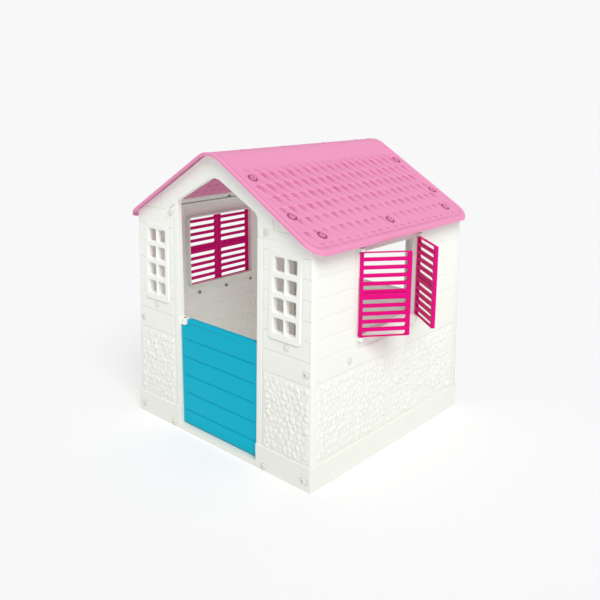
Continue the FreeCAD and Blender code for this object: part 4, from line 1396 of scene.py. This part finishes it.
def slope_place(x: float, y: float) -> Spot:
    """Place on the roof's outer face, and the direction square to it.

    Args:
        x: Place across the house.
        y: Place along the ridge.

    Returns:
        The place and the direction.
    """
    away = abs(x)
    angle = math.asin(away / RIDGE_RADIUS) if away < RIDGE_RADIUS * math.sin(ROOF_ANGLE) else ROOF_ANGLE
    normal = (math.copysign(math.sin(angle), x), 0.0, math.cos(angle))
    return (x, y, float(roof_height(np.array(away)))), normal


def wall_pair(spot: tuple[float, float], back: bool, proud: float = 0.0) -> tuple[Spot, ...]:
    """Places of two like heads on the front or back wall, one on each side of the doorway.

    Args:
        spot: Distance from the middle and height of the heads.
        back: Whether they are on the back wall.
        proud: How far the plinth's face stands out there.

    Returns:
        Each head's place and direction, the right one first.
    """
    x, z = spot
    out = proud + (float(lean(z)) if z > PLINTH_HEIGHT else 0.0)
    y, direction = (HOUSE_DEPTH + out, (0.0, 1.0, 0.0)) if back else (-out, (0.0, -1.0, 0.0))
    return tuple(((s * x, y, z), direction) for s in (1, -1))


def side_spots(side: int, out: Sequence[float], along: Sequence[float], z: float,
               facing: int) -> tuple[Spot, ...]:
    """Places of heads on a side wall.

    Args:
        side: 1 on the right wall, -1 on the left one.
        out: Distance of each head from the middle of the house.
        along: Place of each head along the wall.
        z: Height of the heads.
        facing: 1 for heads that face outwards, -1 for heads inside the house.

    Returns:
        Each head's place and direction.
    """
    return tuple(((side * x, y, z), (facing * side, 0, 0)) for x, y in zip(out, along))


def fasteners() -> list[Heads]:
    """All groups of heads on the house.

    Returns:
        The groups in the order in which they are built.
    """
    groups = []
    for name, back in (("front", False), ("back", True)):
        groups += [
            Heads(f"gable_screw_heads_{name}", Finish.SCREW, f"gable_screws_{name}",
                  wall_pair(GABLE_SCREW, back), recess=Recess.PLAIN),
            Heads(f"corner_screw_heads_{name}", Finish.SCREW, f"corner_screws_{name}",
                  wall_pair(LOW_CORNER_SCREW, back, PLINTH_PROUD) + wall_pair(HIGH_CORNER_SCREW, back)),
            Heads(f"{name}_plug_heads", Finish.SCREW, f"{name}_plugs", wall_pair(WALL_PLUG, back), 7.0,
                  recess=Recess.PLAIN),
            Heads(f"sill_screw_heads_{name}", Finish.SCREW, "infill_screws" if back else "sill_screws",
                  wall_pair(SILL_SCREW, back, PLINTH_PROUD)),
        ]
    outside = [HALF_WIDTH + lean(SIDE_PLUG_Z)] * len(SIDE_PLUG_Y)
    # The skin leans out only beyond the window's upright frame.
    inside = [HALF_WIDTH - SKIN + (lean(INNER_BOLT_Z) if y > SideWall.frame_box[1] else 0.0)
              for y in INNER_BOLT_Y]
    for name, side in (("right", 1), ("left", -1)):
        groups += [
            Heads(f"roof_bolt_heads_{name}", Finish.BOLT, f"roof_bolts_{name}",
                  tuple(slope_place(side * x, y) for x, y in RoofHalf.bolts), 11.0, 3.4),
            Heads(f"side_plug_heads_{name}", Finish.SCREW, f"side_plugs_{name}",
                  side_spots(side, outside, SIDE_PLUG_Y, SIDE_PLUG_Z, 1), recess=Recess.PLAIN),
            Heads(f"inner_bolt_heads_{name}", Finish.NUT, f"inner_bolts_{name}",
                  side_spots(side, inside, INNER_BOLT_Y, INNER_BOLT_Z, -1), 7.0, 6.0),
        ]
    groups.append(Heads("ridge_screw_heads", Finish.BOLT, "ridge_screws",
                        tuple(slope_place(RIDGE_SCREW_X, y) for y in RIDGE_SCREW_Y), 7.0))
    return groups


# ---- studio ----------------------------------------------------------------------------------------
@dataclass
class Studio:
    """Pale floor, soft light and the camera."""

    eye: tuple[float, float, float] = (1845.8, -1604.6, 1315.2)
    yaw: float = 0.7343865
    pitch: float = -0.2165782
    roll: float = 0.0071220
    lens: float = 42.871
    shift_y: float = -0.1
    room_light: float = 0.5
    backdrop: float = 0.945
    key_direction: tuple[float, float, float] = (0.568, -0.368, 0.736)
    key_power: float = 2.13
    key_spread: float = 35.0
    floor_shade: float = 0.5
    floor_glow: float = 0.44
    floor_reach: tuple[float, float] = (0.5, 60.0)
    floor_middle: float = 0.45
    floor_drop: float = 0.0005
    floor_spokes: int = 64
    lamp_place: tuple[float, float, float] = (0.0, 0.446, 0.38)
    lamp_power: float = 1.15
    lamp_size: float = 0.22
    lamp_colour: Colour = (0.96, 1.0, 0.90)

    def build(self) -> None:
        """Makes the floor, the world, the lights and the camera."""
        scene = bpy.context.scene
        scene.view_settings.view_transform = "Standard"
        self.make_floor()
        world = bpy.data.worlds.new("pale_room")
        world.use_nodes = True
        tree = world.node_tree
        seen = add_node(tree, "ShaderNodeLightPath").outputs["Is Camera Ray"]
        strength = ramped(tree, seen, 0.0, 1.0, self.room_light, self.backdrop)
        tree.links.new(strength, tree.nodes["Background"].inputs["Strength"])
        tree.nodes["Background"].inputs["Color"].default_value = (1.0, 1.0, 1.0, 1)
        scene.world = world
        self.add_sun("key", self.key_direction, self.key_power, self.key_spread)
        self.add_lamp()
        self.make_camera()

    def make_floor(self) -> None:
        """Makes the floor as a wide disc: rings of growing radius round the house's middle."""
        n = self.floor_spokes
        rings, spokes = np.geomspace(*self.floor_reach, 14), np.linspace(0, 2 * math.pi, n, endpoint=False)
        r, t = np.meshgrid(rings, spokes, indexing="ij")
        points = np.stack([r * np.cos(t), r * np.sin(t) + self.floor_middle,
                           np.full_like(r, -self.floor_drop)], -1).reshape(-1, 3)
        i, j = np.arange(n), (np.arange(n) + 1) % n
        faces = [tuple(range(n))]
        for k in range(len(rings) - 1):
            near, far = k * n, (k + 1) * n
            faces += np.stack([near + i, far + i, far + j, near + j], -1).tolist()
        mesh = bpy.data.meshes.new("floor")
        mesh.from_pydata(points.tolist(), [], faces)
        material = bpy.data.materials.new("pale_floor")
        material.use_nodes = True
        shader = material.node_tree.nodes["Principled BSDF"]
        shader.inputs["Base Color"].default_value = (self.floor_shade,) * 3 + (1,)
        shader.inputs["Roughness"].default_value = 0.9
        shader.inputs["Specular IOR Level"].default_value = 0.1
        shader.inputs["Emission Color"].default_value = (1.0, 1.0, 1.0, 1)
        shader.inputs["Emission Strength"].default_value = self.floor_glow
        mesh.materials.append(material)
        floor = bpy.data.objects.new("floor", mesh)
        bpy.context.scene.collection.objects.link(floor)

    def add_sun(self, name: str, direction: tuple[float, float, float], power: float, spread: float) -> None:
        """Adds a broad even light.

        Args:
            name: Name of the light.
            direction: Direction from the house to the light.
            power: Strength of the light.
            spread: Angle in degrees that it fills, for soft shadows.
        """
        data = bpy.data.lights.new(name, "SUN")
        data.energy, data.angle = power, math.radians(spread)
        light = bpy.data.objects.new(name, data)
        light.rotation_mode = "QUATERNION"
        light.rotation_quaternion = (-Vector(direction)).to_track_quat("-Z", "Y")
        light.location = Vector(direction) * 4
        bpy.context.scene.collection.objects.link(light)

    def add_lamp(self) -> None:
        """Adds a soft pale light inside the house that fills its shadows."""
        data = bpy.data.lights.new("inner_fill", "POINT")
        data.energy, data.shadow_soft_size, data.color = self.lamp_power, self.lamp_size, self.lamp_colour
        light = bpy.data.objects.new("inner_fill", data)
        light.location = self.lamp_place
        light.visible_camera = False
        bpy.context.scene.collection.objects.link(light)

    def make_camera(self) -> None:
        """Makes the camera: turned by yaw about the upright, tipped by pitch and rolled a little."""
        cy, sy, cp, sp = math.cos(self.yaw), math.sin(self.yaw), math.cos(self.pitch), math.sin(self.pitch)
        forward = Vector((-sy * cp, cy * cp, sp))
        right = Vector((cy, sy, 0.0))
        up = right.cross(forward)
        cr, sr = math.cos(self.roll), math.sin(self.roll)
        across, upright = right * cr + up * sr, up * cr - right * sr
        data = bpy.data.cameras.new("camera")
        data.lens, data.sensor_width, data.shift_y = self.lens, 36.0, self.shift_y
        camera = bpy.data.objects.new("camera", data)
        camera.matrix_world = Matrix.Translation(Vector(self.eye) * MM) @ Matrix(
            (across, upright, -forward)).transposed().to_4x4()
        bpy.context.scene.collection.objects.link(camera)
        bpy.context.scene.camera = camera


# ---- the house -------------------------------------------------------------------------------------
KEPT = {"door_sill": Finish.WALL, "roof_nuts_right": Finish.NUT, "roof_nuts_left": Finish.NUT,
        "door_pins": Finish.PIN,
        **{f"{side}_{end}_shutter_pins": Finish.PIN
           for side in ("right", "left") for end in ("front", "back")}}
SHUTTER_TURNS = {("right", "front"): 51.0, ("right", "back"): -37.0, ("left", "front"): 90.0,
                 ("left", "back"): -90.0}

DOOR_CORNERS = ((-204.0, 25.0, 2.0), (204.0, 25.0, 6.0), (204.0, 451.0, 8.0), (-168.0, 451.0, 6.0),
                (-168.0, 421.0, 2.0), (-204.0, 421.0, 2.0))
INFILL_CORNERS = ((-208.0, 0.0, 0.0), (208.0, 0.0, 0.0), (208.0, 455.0, 2.0), (-208.0, 455.0, 2.0))
BOARD_LINES = (81.0, 153.0, 225.0, 297.0, 369.0)


def shutters() -> list[Shutter]:
    """The four shutters, each turned to where it rests."""
    return [Shutter(f"{side}_{end}_shutter_moulding", f"shutter_{side}_{end}", f"{side}_{end}_shutter",
                    (HINGE_X if side == "right" else -HINGE_X, HINGE_Y[end == "back"]), turn)
            for (side, end), turn in SHUTTER_TURNS.items()]


def house_pieces() -> list[object]:
    """The sub-assemblies of the house.

    Returns:
        The sub-assemblies in the order in which they are built.
    """
    return [
        FrontPanel("front_right_moulding", Place.FRONT_RIGHT, "front_right_panel", 11, stop_rib=True),
        FrontPanel("front_left_moulding", Place.FRONT_LEFT, "front_left_panel", 12, hinge_lug=True),
        FrontPanel("back_right_moulding", Place.BACK_RIGHT, "back_right_panel", 13),
        FrontPanel("back_left_moulding", Place.BACK_LEFT, "back_left_panel", 14),
        Gable("front_gable_moulding", Place.FRONT_RIGHT, "front_gable"),
        Gable("back_gable_moulding", Place.BACK_LEFT, "back_gable"),
        SideWall("right_wall_moulding", Place.RIGHT, "right_wall", 21),
        SideWall("left_wall_moulding", Place.LEFT, "left_wall", 22),
        RoofHalf("roof_right_moulding", Place.FRAME, "roof_right_half"),
        RoofHalf("roof_left_moulding", Place.FRAME_MIRRORED, "roof_left_half"),
        BoardedLeaf("door_moulding", "door_leaf", Finish.DOOR, Place.FRONT_RIGHT, "door", DOOR_CORNERS, -1.0,
                    BOARD_LINES, (-192.0, 192.0), (-163.0, 112.0, 437.0, 449.0), -168.0),
        BoardedLeaf("back_infill_moulding", "house", Finish.WALL, Place.BACK_LEFT, "back_infill",
                    INFILL_CORNERS, 0.0, BOARD_LINES, (-194.0, 194.0), plinth=True),
        *shutters(),
        *fasteners(),
    ]


def main() -> None:
    """Makes the finishes, the stage and every piece."""
    logging.basicConfig(level=logging.INFO, format="%(name)s: %(message)s")
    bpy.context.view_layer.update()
    groups = {g.name: g for g in (moulding_grain(), dust_wear_and_painted_light(), hairline_scuffs())}
    for plastic in PLASTICS.values():
        plastic.material(groups)
    Studio().build()
    for piece in house_pieces():
        piece.build()
    for node, finish in KEPT.items():
        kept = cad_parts[node]
        kept.data.materials.clear()
        kept.data.materials.append(bpy.data.materials[PLASTICS[finish].name])


if __name__ == "__main__":
    main()
